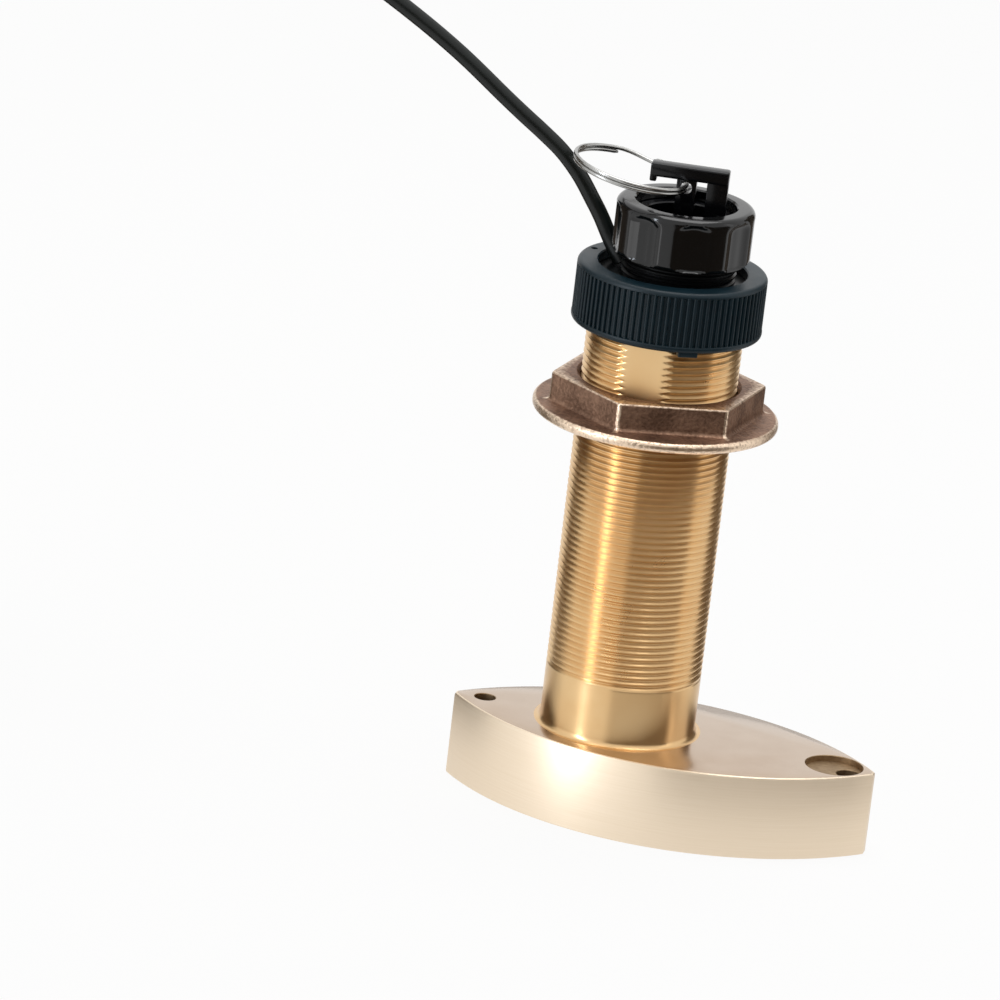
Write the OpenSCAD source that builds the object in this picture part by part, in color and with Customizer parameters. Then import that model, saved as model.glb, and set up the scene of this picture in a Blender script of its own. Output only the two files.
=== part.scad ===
// Through-hull sonar transducer: bronze blade and threaded stem, hull nut, retaining ring,
// removable speed insert with its cap nut and pull ring, and a cable with its plug.
// Z = 0 is the underside of the blade, X runs along the blade to its long end.

/* [Blade] */
// Length of the blade, tip to tip
blade_l = 142; // [120:1:180]
// Width of the blade at its middle
blade_w = 69.5; // [64:0.5:90]
// Height of the blade
blade_h = 28; // [24:0.5:40]
// Width of the blunt flat at each tip
tip_w = 2.5; // [1:0.5:6]
// Distance of the stem's axis from the blade's middle, towards the short end
stem_offset = 16; // [8:0.5:20]
// Radius of the pin hole in the short end
pin_hole_r = 3.5; // [2:0.25:4]
// Distance of the pin hole from the short tip
pin_hole_inset = 10; // [8:0.5:14]
// Radius of the round seat sunk in the long end
seat_r = 9.5; // [6:0.5:10]
// Depth of the round seat
seat_depth = 2; // [1:0.5:6]
// Distance of the round seat's middle from the long tip
seat_inset = 13.5; // [13:0.5:16]
// Radius of the bolt hole in the round seat
bolt_hole_r = 4; // [2:0.25:4]
// Distance of the bolt hole from the seat's middle, towards the tip
bolt_hole_shift = 5; // [0:0.5:5]

/* [Stem] */
// Outer radius of the stem, over the thread
stem_r = 25.4; // [24:0.1:30]
// Length of the stem above the blade
stem_l = 149; // [120:1:220]
// Radius of the stem's bore
bore_r = 22; // [21:0.1:23]
// Length of the smooth band under the thread
band_l = 19; // [10:1:40]
// Radius of the fillet at the stem's foot
foot_fillet = 2; // [0.5:0.5:4]
// Pitch of the thread
thread_pitch = 2.117; // [1.5:0.001:3]
// Depth of the thread
thread_depth = 1.1; // [0.5:0.1:1.4]
// Depth of the flat milled on the front of the thread
flat_depth = 1.6; // [0.5:0.1:2]
// Length of that flat, down from the stem's top
flat_l = 42; // [20:1:80]
// Height of the inner lip at the bottom of the bore
lip_h = 6; // [3:0.5:8]

/* [Depth element] */
// Radius of the ceramic disc
cell_r = 15; // [10:0.5:16]
// Thickness of the ceramic disc
cell_t = 8; // [4:0.5:9]
// Distance of the disc's middle from the stem's axis
cell_shift = 43; // [42:0.5:46]
// Thickness of the cast window over the disc
window_t = 3; // [1:0.5:4]
// Thickness of the absorber behind the disc
absorber_t = 6; // [3:0.5:7]
// Clear ring round the disc
cell_gap = 1.2; // [0.5:0.1:2]
// Radius of the temperature sensor
probe_r = 3; // [2:0.25:3.5]
// Length of the temperature sensor
probe_l = 11; // [9:0.5:14]
// Distance of the temperature sensor from the blade's short tip
probe_inset = 22; // [20:0.5:27]

/* [Hull nut] */
// Radius of the nut's flange
nut_r = 40; // [38:0.5:50]
// Thickness of the nut's flange
nut_rim = 3.5; // [2:0.5:6]
// Width of the hexagon across its flats
nut_af = 61.5; // [58:0.5:66]
// Height of the hexagon
nut_hex_h = 9.5; // [5:0.5:14]
// Turn of the hexagon on the stem
nut_turn = 23; // [0:1:59]
// Clear height between the blade and the nut
hull_gap = 105.5; // [60:0.5:112]
// Clearance of the nut on the thread
nut_clear = 0.3; // [0.2:0.05:0.6]

/* [Retaining ring] */
// Thickness of the ring's wall round the thread
ring_skin = 5.3; // [4.3:0.1:10.3]
// Height of the ring
ring_h = 20; // [14:0.5:26]
// Thickness of the ring's top wall
ring_wall = 3.2; // [2:0.1:5]
// Reach of the ring's top wall in over the stem's end
ring_ledge = 1.2; // [1:0.1:1.4]
// Number of grip ribs
rib_count = 88; // [40:2:100]
// Depth of the grooves between the ribs
rib_depth = 0.8; // [0.3:0.1:1.2]
// Height of the plain lips above and below the ribs
ring_lip = 1.8; // [0.5:0.1:4]
// Width of the index tab under the ring
tab_w = 6.5; // [3:0.5:10]
// Height of the index tab
tab_h = 1.5; // [0.5:0.25:3]

/* [Sleeve] */
// Thickness of the gasket under the sleeve's flange
gasket_t = 1; // [0.5:0.1:2]
// Thickness of the sleeve's flange
flange_t = 3; // [2:0.25:5]
// Radius of the sleeve's neck
neck_r = 18.6; // [18:0.1:19]
// Distance of the insert's axis from the stem's axis
insert_shift = 2; // [1.8:0.1:2.2]
// Direction of that distance
insert_dir = -10; // [-30:1:0]

/* [Cap nut] */
// Outer radius of the cap nut
cap_r = 22.5; // [22:0.1:23]
// Height of the cap nut
cap_h = 18.2; // [14:0.1:26]
// Clear height between the retaining ring and the cap nut
cap_gap = 3.8; // [3.6:0.1:8]
// Thickness of the cap nut's top wall
cap_wall = 3.5; // [2:0.25:5]
// Radius of the hole in the cap nut's top
cap_hole_r = 16.4; // [15:0.1:17]
// Number of grip flutes
flute_count = 8; // [4:1:10]
// Depth of each grip flute
flute_depth = 1.5; // [0.5:0.1:2]
// Radius of each grip flute
flute_r = 14; // [8:0.5:20]
// Rounding of the cap nut's edges
cap_round = 2.4; // [1:0.1:2.8]

/* [Speed insert] */
// Radius of the insert
insert_r = 15.2; // [15:0.1:15.3]
// Height of the insert's bottom above the blade's underside
insert_raise = 0.5; // [0.3:0.1:3]
// Radius of the insert's flange
insert_flange_r = 18; // [17:0.1:18.4]
// Thickness of the insert's flange
insert_flange_t = 2.4; // [1.5:0.1:4]
// Radius of the well in the insert's top
well_r = 12.8; // [12:0.1:13]
// Depth of the well
well_depth = 14; // [10:0.5:40]
// Radius of the cord of each O-ring
seal_r = 1.3; // [0.8:0.1:1.6]

/* [Handle and pull ring] */
// Height of the handle above the cap nut
handle_h = 12; // [10:0.5:18]
// Length of the handle's bar
bar_l = 25.4; // [20:0.2:26]
// Height of the bar
bar_h = 4.5; // [3:0.25:6]
// Depth of the bar
bar_t = 5.4; // [4:0.2:7]
// Depth of the web under the bar
web_t = 4; // [2.5:0.25:5]
// Turn of the handle from the blade's length
handle_turn = 8; // [0:1:15]
// Radius of the eye that takes the pull ring
eye_r = 1.9; // [1.7:0.1:2.2]
// Distance of the eye from the insert's axis
eye_shift = -0.7; // [-1:0.1:0.5]
// Middle radius of the pull ring
pull_r = 18.6; // [14:0.2:24]
// Radius of the pull ring's wire
wire_r = 0.7; // [0.5:0.05:0.8]
// Tilt of the pull ring, its free end raised
pull_tilt = 9.5; // [5:0.5:20]

/* [Paddlewheel] */
// Radius of the paddlewheel
paddle_r = 10.5; // [8:0.25:11]
// Width of the paddlewheel
paddle_w = 9; // [6:0.25:10]
// Number of paddles
paddle_count = 4; // [3:1:6]
// Thickness of each paddle
paddle_t = 2.6; // [2.4:0.1:3.2]
// Radius of the paddlewheel's hub
hub_r = 3.2; // [2.6:0.1:4]
// Radius of the axle
axle_r = 1.2; // [0.8:0.05:1.4]
// Running clearance of the paddlewheel on its axle
axle_clear = 0.05; // [0.02:0.01:0.1]
// Clear room round the paddlewheel
paddle_room = 1; // [0.6:0.1:1.5]
// Radius of each magnet in the paddles
magnet_r = 0.9; // [0.5:0.05:0.95]

/* [Cable] */
// Diameter of the cable
cable_d = 5.4; // [5:0.1:5.6]
// Middle radius of the hank's end loops
coil_mean_r = 28.25; // [27:0.25:30]
// Straight run between the hank's end loops
coil_run = 16; // [14:1:30]
// Turns side by side in the hank
coil_columns = 3; // [2:1:3]
// Turns on top of each other in the hank
coil_layers = 14; // [10:1:14]
// Thickness of the ties round the hank
tie_t = 1.2; // [0.6:0.1:2]
// Width of the ties
tie_w = 10; // [6:0.5:16]

/* [Plug] */
// Radius of the plug's body
plug_r = 7.5; // [6:0.25:8]
// Length of the plug's body
plug_l = 20; // [14:0.5:26]
// Radius of the plug's coupling nut
plug_nut_r = 8.8; // [8.5:0.1:10]
// Length of the plug's coupling nut
plug_nut_l = 12; // [8:0.5:16]
// Length of the plug's boot
boot_l = 16; // [10:0.5:20]
// Number of contact pins
pin_count = 5; // [3:1:7]

/* [Hidden] */
$fn = 72;
eps = 0.01;

// Clear distance between pieces that move past each other
run_gap = 0.3;
// How far a cutter reaches past the faces it opens
over = 1;
// How far the stem's foot goes into the blade
foot_sink = 1;
// How far an O-ring stands out of its groove
seal_stand = 0.15;

// Walls of the handle's eye and of its leg, the wire's two turns merging, and the gap between the legs
eye_wall = 0.6;
wire_merge = 0.04;
leg_wall = 1.3;
leg_gap = 3.4;

// Heights, from the blade's underside upwards
thread_z = blade_h + band_l;
stem_top = blade_h + stem_l;
flange_z = stem_top + gasket_t;
flange_top = flange_z + flange_t;
ring_top = flange_top + run_gap + ring_wall;
ring_z = ring_top - ring_h;
cap_z = ring_top + cap_gap;
cap_top = cap_z + cap_h;
cap_inner_top = cap_top - cap_wall;
insert_flange_z = cap_inner_top - run_gap - insert_flange_t;
neck_top = insert_flange_z - run_gap;
well_floor = insert_flange_z - well_depth;
bar_top = cap_top + handle_h;
bar_z = bar_top - bar_h;
eye_z = bar_z - eye_r - eye_wall;
nut_z = blade_h + hull_gap;

// Radii that follow from a fit
flange_inset = 0.6;
sleeve_r = bore_r - run_gap;
socket_r = insert_r + run_gap;
flange_r = stem_r - flange_inset;
cap_bore_r = neck_r + run_gap;
sleeve_seal_mid = sleeve_r - seal_r + seal_stand;
insert_seal_mid = insert_r - seal_r + seal_stand;

// Heights of the O-rings, and of the paddlewheel's axle
sleeve_seal_heights = [blade_h + 6, stem_top - 14];
insert_seal_heights = [blade_h + 4, blade_h + 10, flange_z - 8];
paddle_z = insert_raise + paddle_room + paddle_r;
axle_inset = 1;
axle_l = 2 * sqrt(pow(insert_r, 2) - pow(axle_r, 2)) - 2 * axle_inset;

// Blade outline: each side is an arc through the two tip corners and the widest point
side_rise = (blade_w - tip_w) / 2;
side_r = (pow(blade_l / 2, 2) + pow(side_rise, 2)) / (2 * side_rise);

// Flats at the thread's root and crest
thread_root = 0.25;
thread_crest = 0.13;

// The wire race round the sleeve's foot, and the lead in it
race_z = 12;
race_h = 5;
race_depth = 3.2;
lead_r = 0.9;
lead_knot_r = 1.15;
lead_ring_r = bore_r - race_depth / 2;
lead_z = race_z + race_h / 2;
passage_r = 1.6;
lead_groove_w = 2.6;
lead_bend_z = flange_z - 7;
lead_reach = 3;
lead_disc_inset = 1.5;

// Temperature sensor: its distance from the stem's axis
probe_shift = blade_l / 2 - stem_offset - probe_inset;

// Retaining ring: its ribs stand a little inside its lips; straight edge of the lips, and the index tab
ring_r = stem_r + run_gap + ring_skin;
ring_hole_r = stem_r - ring_ledge;
rib_inset = 0.15;
rib_r = ring_r - rib_inset;
lip_edge = 0.36;
tab_dir = -62;
tab_t = 3;
tab_inset = 1;

// Speed sensor block in the sleeve's wall
sensor_w = 5;
sensor_h = 10;
sensor_z = 22;
sensor_t = 2.4;

// Where the cable leaves the sleeve: its direction round the stem, radius and outward lean
exit_dir = 170;
exit_r = 18.2;
exit_lean = 27;
exit_stand = 0.6;
exit_z = flange_top + exit_stand;
gland_wall = 0.25;
gland_r = cable_d / 2 + gland_wall;
gland_l = 2.6;
// Seat of the gland, and the height of the notch above it that lets the cable past the neck
seat_gap = 0.1;
seat_in = exit_r - gland_l * sin(exit_lean) - gland_r;
seat_floor = exit_z - gland_l * cos(exit_lean) - gland_r / 2;
notch_h = 4;
exit_at = [exit_r * cos(exit_dir), exit_r * sin(exit_dir), exit_z];
exit_along = [sin(exit_lean) * cos(exit_dir), sin(exit_lean) * sin(exit_dir), cos(exit_lean)];
gland_foot = exit_at - gland_l * exit_along;

// Hank: where it lies and the box of its turns
coil_x = -284.5;
coil_y = 3;
loop_x = coil_x - coil_run / 2;
turn_gap = 0.1;
turn_pitch = cable_d + turn_gap;
coil_half = coil_columns * turn_pitch / 2;
coil_in = coil_mean_r - coil_half;
coil_out = coil_mean_r + coil_half;
coil_h = coil_layers * turn_pitch;
coil_top = tie_t + coil_h;
lane_r = coil_out - turn_pitch / 2;
// Each tie's shift along the hank and the side that it is on
tie_places = [[0, -1], [2, 1]];

// Plug: it lies on the hank, along the middle of one side
plug_x = loop_x + 1.5;
plug_y = coil_y + coil_mean_r;
plug_z = coil_top + plug_nut_r + run_gap;
plug_wall = 2;
plug_end = boot_l + plug_l - plug_nut_l;
boot_wall = 0.6;
pin_r = 0.5;
pin_ring_r = 3.5;

// The cable's way up out of the gland, over and down beside the hank, and from the hank to the plug
land_y = coil_y - coil_out - tie_t - cable_d / 2 - run_gap;
land_r = coil_y - land_y;
land_z = tie_t + turn_pitch / 2;
function on_loop(r, dir, z) = [loop_x + r * cos(dir), coil_y + r * sin(dir), z];
rise_route = [
  exit_at - [stem_offset, 0, 0],
  [-38.5, 4.5, 188], [-42.5, 4.5, 195], [-46, 4, 200.5], [-51, 3, 208], [-57, 1.5, 215], [-63.5, 0, 220.5],
  [-70, -1.5, 225.5], [-77, -3, 231], [-92, -6, 243], [-108, -9, 254], [-126, -13, 265],
  [-146, -18, 275], [-168, -23, 281], [-190, -28, 281], [-211, -32, 274], [-229, -34.5, 260],
  [-243, -36, 241], [-250, -37, 218], [-252, land_y, 192], [-251, land_y, 164], [-249, land_y, 136],
  [-246, land_y, 108], [-244, land_y, 80], [-244.5, land_y, 54], [-250, land_y, 32], [-261, land_y, 14.5],
  [-276, land_y, land_z + 2], on_loop(land_r, -90, land_z), on_loop(land_r - 1.5, -112, land_z),
  on_loop(land_r - 4, -134, land_z)
];
// Steps of the tail round the end loop: direction, share of the way in and share of the way up to the plug
tail_steps = [
  [-150, 0.14, 0], [-170, 0.1, 0.11], [170, 0.19, 0.32], [150, 0.41, 0.58],
  [130, 0.65, 0.8], [112, 0.86, 0.94], [98, 0.97, 0.99]
];
tail_low = coil_top - turn_pitch / 2;
tail_route = concat(
  [for (t = tail_steps)
    on_loop(lane_r + (coil_mean_r - lane_r) * t[1], t[0], tail_low + (plug_z - tail_low) * t[2])],
  [[plug_x, plug_y, plug_z]]
);

function unit(v) = v / norm(v);

// One stretch of a smooth curve through b and c, with a and d as its neighbours
function curve_at(a, b, c, d, t) =
  0.5 * (2 * b + (c - a) * t + (2 * a - 5 * b + 4 * c - d) * t * t + (3 * b - a - 3 * c + d) * t * t * t);

function smooth_path(route, steps) = [
  for (i = [0 : len(route) - 2])
    for (s = [0 : steps - 1])
      curve_at(route[max(i - 1, 0)], route[i], route[i + 1], route[min(i + 2, len(route) - 1)], s / steps),
  route[len(route) - 1]
];

// Corners of a quarter round of radius r about c, from angle a0 to a1
function arc_points(c, r, a0, a1, steps = 6) =
  [for (i = [0 : steps]) c + r * [cos(a0 + (a1 - a0) * i / steps), sin(a0 + (a1 - a0) * i / steps)]];

module at_stem() {
  translate([-stem_offset, 0, 0]) children();
}

module at_insert() {
  at_stem() rotate(insert_dir) translate([insert_shift, 0, 0]) rotate(-insert_dir) children();
}

module at_cell() {
  translate([cell_shift - stem_offset, 0, 0]) children();
}

module at_probe() {
  translate([-probe_shift - stem_offset, 0, 0]) children();
}

module tube(r_out, r_in, h) {
  difference() {
    cylinder(r = r_out, h = h);
    translate([0, 0, -over]) cylinder(r = r_in, h = h + 2 * over);
  }
}

module torus(mid_r, r) {
  rotate_extrude() translate([mid_r, 0]) circle(r, $fn = 24);
}

// A cylinder of radius r from point a to point b
module rod(a, b, r) {
  d = b - a;
  translate(a)
    rotate([0, acos(d.z / norm(d)), atan2(d.y, d.x)])
      cylinder(r = r, h = norm(d), $fn = 24);
}

// A round cord of radius r along a path; side is a direction that the path never takes
module swept_tube(path, r, side, sides) {
  n = len(path);
  points = [
    for (i = [0 : n - 1])
      let (t = unit(path[min(i + 1, n - 1)] - path[max(i - 1, 0)]), u = unit(cross(t, side)), v = cross(t, u))
        for (k = [0 : sides - 1]) path[i] + r * (cos(360 * k / sides) * u + sin(360 * k / sides) * v)
  ];
  skin = [
    for (i = [0 : n - 2])
      for (k = [0 : sides - 1])
        let (a = i * sides + k, b = i * sides + (k + 1) % sides)
          each [[a, a + sides, b], [b, a + sides, b + sides]]
  ];
  first = [for (k = [0 : sides - 1]) k];
  last = [for (k = [0 : sides - 1]) n * sides - 1 - k];
  polyhedron(points, concat([first], skin, [last]), convexity = 10);
}

module blade_plan() {
  intersection() {
    translate([0, side_r - blade_w / 2]) circle(side_r, $fn = 180);
    translate([0, blade_w / 2 - side_r]) circle(side_r, $fn = 180);
    square([blade_l, blade_w], center = true);
  }
}

// Half section of the stem: fillet, smooth band, thread ridges with flat roots and crests
module stem_profile() {
  turns = floor((stem_top - thread_z) / thread_pitch);
  root_r = stem_r - thread_depth;
  polygon(concat(
    [[0, blade_h - foot_sink], [stem_r + foot_fillet, blade_h - foot_sink]],
    arc_points([stem_r + foot_fillet, blade_h + foot_fillet], foot_fillet, 270, 180),
    [[stem_r, thread_z]],
    [for (i = [0 : turns - 1])
      let (z = thread_z + i * thread_pitch)
        each [[root_r, z + (thread_pitch - thread_root) / 2], [root_r, z + (thread_pitch + thread_root) / 2],
              [stem_r, z + thread_pitch - thread_crest], [stem_r, z + thread_pitch]]],
    [[stem_r, stem_top], [0, stem_top]]
  ));
}

// Blade of the bronze housing. The real blade and stem are one casting. They are two solids here, so
// that the space around the stem, where the hull is clamped, stays open.
module blade() {
  pocket_h = window_t + cell_t + absorber_t;
  color("#D9A95F") difference() {
    linear_extrude(blade_h) blade_plan();
    at_stem() translate([0, 0, lip_h]) cylinder(r = bore_r, h = blade_h);
    at_insert() translate([0, 0, -over]) cylinder(r = socket_r, h = blade_h);
    // seat of the stem's foot
    at_stem() translate([0, 0, blade_h - foot_sink])
      cylinder(r = stem_r + foot_fillet, h = foot_sink + over);
    // pin hole, round seat and bolt hole
    translate([pin_hole_inset - blade_l / 2, 0, -over]) cylinder(r = pin_hole_r, h = blade_h + 2 * over);
    translate([blade_l / 2 - seat_inset, 0, 0]) {
      translate([0, 0, blade_h - seat_depth]) cylinder(r = seat_r, h = seat_depth + over);
      translate([bolt_hole_shift, 0, -over]) cylinder(r = bolt_hole_r, h = blade_h + 2 * over);
    }
    // pocket of the depth element, hole of the temperature probe, and the lead's passages
    at_cell() translate([0, 0, -over]) cylinder(r = cell_r + cell_gap, h = pocket_h + over);
    at_probe() translate([0, 0, -over]) cylinder(r = probe_r, h = lead_z + over);
    at_stem() rod([-probe_shift - passage_r, 0, lead_z], [-bore_r + over, 0, lead_z], passage_r);
    at_stem() rod([bore_r - over, 0, lead_z], [cell_shift - cell_r, 0, lead_z], passage_r);
  }
}

// Stem of the bronze housing, from the seat in the blade's top upwards
module stem() {
  color("#D9A95F") at_stem() difference() {
    rotate_extrude() stem_profile();
    translate([0, 0, blade_h - foot_sink - over]) cylinder(r = bore_r, h = stem_l + foot_sink + 2 * over);
    // flat milled on the front of the thread
    translate([-stem_r, -stem_r - over, stem_top - flat_l])
      cube([2 * stem_r, flat_depth + over, flat_l + over]);
  }
}

module acoustic_window() {
  color("#2B2D30") at_cell() cylinder(r = cell_r + cell_gap, h = window_t);
}

module piezo_disc() {
  color("#C9BFA8") at_cell() translate([0, 0, window_t]) cylinder(r = cell_r, h = cell_t);
}

module absorber_disc() {
  color("#8C6B4A") at_cell() translate([0, 0, window_t + cell_t]) difference() {
    cylinder(r = cell_r + cell_gap, h = absorber_t);
    // slot that lets the lead down to the disc
    translate([-cell_r - cell_gap - over, -lead_groove_w / 2, -over])
      cube([over + 2 * lead_disc_inset, lead_groove_w, absorber_t + 2 * over]);
  }
}

module temperature_probe() {
  color("#C7A24E") at_probe() cylinder(r = probe_r, h = probe_l);
}

// Wires inside the housing: from the disc and the probe to the race, round it and up to the gland,
// with a sealed splice at each joint
module inner_lead() {
  lead_x = lead_ring_r * cos(exit_dir);
  lead_y = lead_ring_r * sin(exit_dir);
  disc_x = cell_shift - cell_r - cell_gap + lead_disc_inset;
  gland_end = gland_foot - lead_r * exit_along;
  color("#B03A2E") at_stem() {
    rod([lead_ring_r, 0, lead_z], [disc_x, 0, lead_z], lead_r);
    rod([disc_x, 0, lead_z], [disc_x, 0, window_t + cell_t], lead_r);
    rod([-probe_shift, 0, lead_z], [-lead_ring_r, 0, lead_z], lead_r);
    rod([-probe_shift, 0, lead_z], [-probe_shift, 0, probe_l], lead_r);
    translate([0, 0, lead_z]) torus(lead_ring_r, lead_r);
    rod([lead_x, lead_y, lead_z], [lead_x, lead_y, lead_bend_z], lead_r);
    rod([lead_x, lead_y, lead_bend_z], gland_end, lead_r);
    for (knot = [[disc_x, 0, lead_z], [-probe_shift, 0, lead_z], [lead_ring_r, 0, lead_z],
                 [-lead_ring_r, 0, lead_z], [lead_x, lead_y, lead_z], [lead_x, lead_y, lead_bend_z]])
      translate(knot) sphere(lead_knot_r, $fn = 24);
  }
}

// Bronze nut: round flange below, hexagon above
module hull_nut() {
  hex_r = nut_af / sqrt(3);
  edge = nut_rim / 3;
  nut_chamfer = 1.2;
  color("#8B6C4F") at_stem() translate([0, 0, nut_z]) difference() {
    union() {
      rotate_extrude() polygon(concat(
        [[0, 0], [nut_r - edge, 0]],
        arc_points([nut_r - edge, edge], edge, 270, 360, 4),
        arc_points([nut_r - edge, nut_rim - edge], edge, 0, 90, 4),
        [[nut_af / 2, nut_rim + edge / 2], [0, nut_rim + edge / 2]]
      ));
      rotate(nut_turn) cylinder(r = hex_r, h = nut_rim + nut_hex_h, $fn = 6);
    }
    translate([0, 0, -over]) cylinder(r = stem_r + nut_clear, h = nut_rim + nut_hex_h + 2 * over);
    translate([0, 0, nut_rim + nut_hex_h - nut_chamfer])
      cylinder(r1 = stem_r + nut_clear, r2 = stem_r + nut_clear + nut_chamfer, h = nut_chamfer + eps);
  }
}

// Plastic liner of the stem: carries the insert, and its neck takes the cap nut
module sleeve() {
  color("#24272A") difference() {
    at_stem() union() {
      translate([0, 0, lip_h]) cylinder(r = sleeve_r, h = flange_z - lip_h + over);
      translate([0, 0, flange_z]) cylinder(r = flange_r, h = flange_t);
      rotate(insert_dir) translate([insert_shift, 0, flange_top - over])
        cylinder(r = neck_r, h = neck_top - flange_top + over);
    }
    at_insert() cylinder(r = socket_r, h = neck_top + over);
    at_stem() {
      // race and groove for the lead, pocket for the sensor, seat for the gland
      translate([0, 0, race_z]) tube(sleeve_r + over, bore_r - race_depth, race_h);
      rotate(exit_dir) {
        translate([bore_r - race_depth, -lead_groove_w / 2, race_z])
          cube([race_depth + over, lead_groove_w, lead_bend_z - race_z]);
        translate([exit_r - lead_reach, -lead_groove_w / 2, lead_bend_z - lead_groove_w])
          cube([bore_r - exit_r + lead_reach + over, lead_groove_w,
                flange_z - lead_bend_z + lead_groove_w - over]);
        translate([exit_r - lead_reach, -lead_groove_w / 2, flange_z - 2 * over])
          cube([lead_reach + over, lead_groove_w, gland_foot.z - flange_z + 3 * over]);
        translate([seat_in, -gland_r - seat_gap, seat_floor])
          cube([exit_r + gland_r - seat_in, 2 * (gland_r + seat_gap), exit_z + notch_h - seat_floor]);
        translate([bore_r - race_depth - sensor_t, -sensor_w / 2, sensor_z])
          cube([sensor_t + over, sensor_w, sensor_h]);
      }
      // grooves of the two seals
      for (z = sleeve_seal_heights) translate([0, 0, z]) torus(sleeve_seal_mid, seal_r);
    }
  }
}

module sleeve_gasket() {
  color("#1B1C1E") at_stem() translate([0, 0, stem_top]) tube(flange_r, bore_r, gasket_t);
}

module sleeve_seals() {
  color("#1B1C1E") at_stem() for (z = sleeve_seal_heights) translate([0, 0, z]) difference() {
    torus(sleeve_seal_mid, seal_r);
    // room for the lead that passes the seal in its groove
    rotate(exit_dir) translate([bore_r - race_depth, -lead_groove_w / 2, -seal_r - over])
      cube([race_depth + over, lead_groove_w, 2 * seal_r + 2 * over]);
  }
}

module speed_sensor() {
  color("#3A5F3A") at_stem() rotate(exit_dir)
    translate([bore_r - race_depth - sensor_t, -sensor_w / 2, sensor_z])
      cube([sensor_t - run_gap, sensor_w, sensor_h]);
}

module cable_gland() {
  color("#1F2123") at_stem() rod(gland_foot, exit_at, gland_r);
}

// Section of the ring with a groove between every two ribs
module rib_section() {
  step = 360 / rib_count;
  rib_half = 0.28 * step;
  groove_half = 0.08 * step;
  function at(r, turn) = r * [cos(turn), sin(turn)];
  polygon([
    for (i = [0 : rib_count - 1])
      let (rib = i * step, groove = (i + 0.5) * step)
        each [
          at(rib_r, rib - rib_half), at(rib_r, rib + rib_half),
          at(rib_r - rib_depth, groove - groove_half), at(rib_r - rib_depth, groove + groove_half)
        ]
  ]);
}

module retaining_ring() {
  lip_round = ring_lip - lip_edge;
  color("#2A2E31") at_stem() difference() {
    union() {
      translate([0, 0, ring_z]) rotate_extrude() polygon(concat(
        [[0, 0]],
        arc_points([ring_r - lip_round, lip_round], lip_round, 270, 360, 4),
        [[ring_r, ring_lip], [0, ring_lip]]
      ));
      translate([0, 0, ring_z + ring_lip]) linear_extrude(ring_h - 2 * ring_lip) rib_section();
      translate([0, 0, ring_top - ring_lip]) rotate_extrude() polygon(concat(
        [[0, 0], [rib_r - rib_depth - rib_inset, 0]],
        arc_points([ring_r - lip_round, ring_lip - lip_round], lip_round, 0, 90, 4),
        [[0, ring_lip]]
      ));
      rotate(tab_dir) translate([ring_r - tab_inset - tab_t, -tab_w / 2, ring_z - tab_h])
        cube([tab_t, tab_w, tab_h + ring_lip]);
    }
    translate([0, 0, ring_z - tab_h - over])
      cylinder(r = stem_r + run_gap, h = ring_h - ring_wall + tab_h + over);
    translate([0, 0, ring_top - ring_wall - over]) cylinder(r = ring_hole_r, h = ring_wall + 2 * over);
  }
}

// Cap nut of the insert: plain rounded rim above shallow flutes
module cap_nut() {
  flute_lip = 1;
  color("#141517") at_insert() translate([0, 0, cap_z]) difference() {
    rotate_extrude() polygon(concat(
      [[0, 0]],
      arc_points([cap_r - cap_round, cap_round], cap_round, 270, 360),
      arc_points([cap_r - cap_round, cap_h - cap_round], cap_round, 0, 90),
      [[0, cap_h]]
    ));
    translate([0, 0, -over]) cylinder(r = cap_bore_r, h = cap_h - cap_wall + over);
    cylinder(r = cap_hole_r, h = cap_h + over);
    for (i = [0 : flute_count - 1])
      rotate(360 * (i + 0.5) / flute_count)
        translate([cap_r + flute_r - flute_depth, 0, cap_round + flute_lip])
          cylinder(r = flute_r, h = cap_h - 2 * (cap_round + flute_lip));
  }
}

// Side view of the handle: bar, leg with the eye, gap, and the second leg
module handle_plate() {
  left = eye_shift - eye_r - leg_wall;
  gap_left = eye_shift + eye_r + leg_wall;
  difference() {
    translate([left, well_floor - over]) square([bar_l / 2 - left, bar_z - well_floor + 2 * over]);
    translate([gap_left, well_floor]) square([leg_gap, bar_z - well_floor]);
    translate([eye_shift, eye_z]) circle(eye_r);
  }
}

module insert_body() {
  slot_half = paddle_r + paddle_room;
  color("#191B1D") at_insert() difference() {
    union() {
      difference() {
        union() {
          translate([0, 0, insert_raise]) cylinder(r = insert_r, h = insert_flange_z - insert_raise + over);
          translate([0, 0, insert_flange_z]) cylinder(r = insert_flange_r, h = insert_flange_t);
        }
        translate([0, 0, well_floor]) cylinder(r = well_r, h = well_depth + insert_flange_t + over);
      }
      rotate(handle_turn) {
        rotate([90, 0, 0]) linear_extrude(web_t, center = true) handle_plate();
        translate([-bar_l / 2, -bar_t / 2, bar_z]) cube([bar_l, bar_t, bar_h]);
      }
    }
    // slot of the paddlewheel and hole of its axle
    translate([-slot_half, -paddle_w / 2 - paddle_room, insert_raise - over])
      cube([2 * slot_half, paddle_w + 2 * paddle_room, over + 2 * slot_half]);
    translate([0, 0, paddle_z]) rotate([90, 0, 0]) cylinder(r = axle_r, h = 2 * insert_r, center = true);
    for (z = insert_seal_heights) translate([0, 0, z]) torus(insert_seal_mid, seal_r);
  }
}

module insert_seals() {
  color("#1B1C1E") at_insert()
    for (z = insert_seal_heights) translate([0, 0, z]) torus(insert_seal_mid, seal_r);
}

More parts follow.
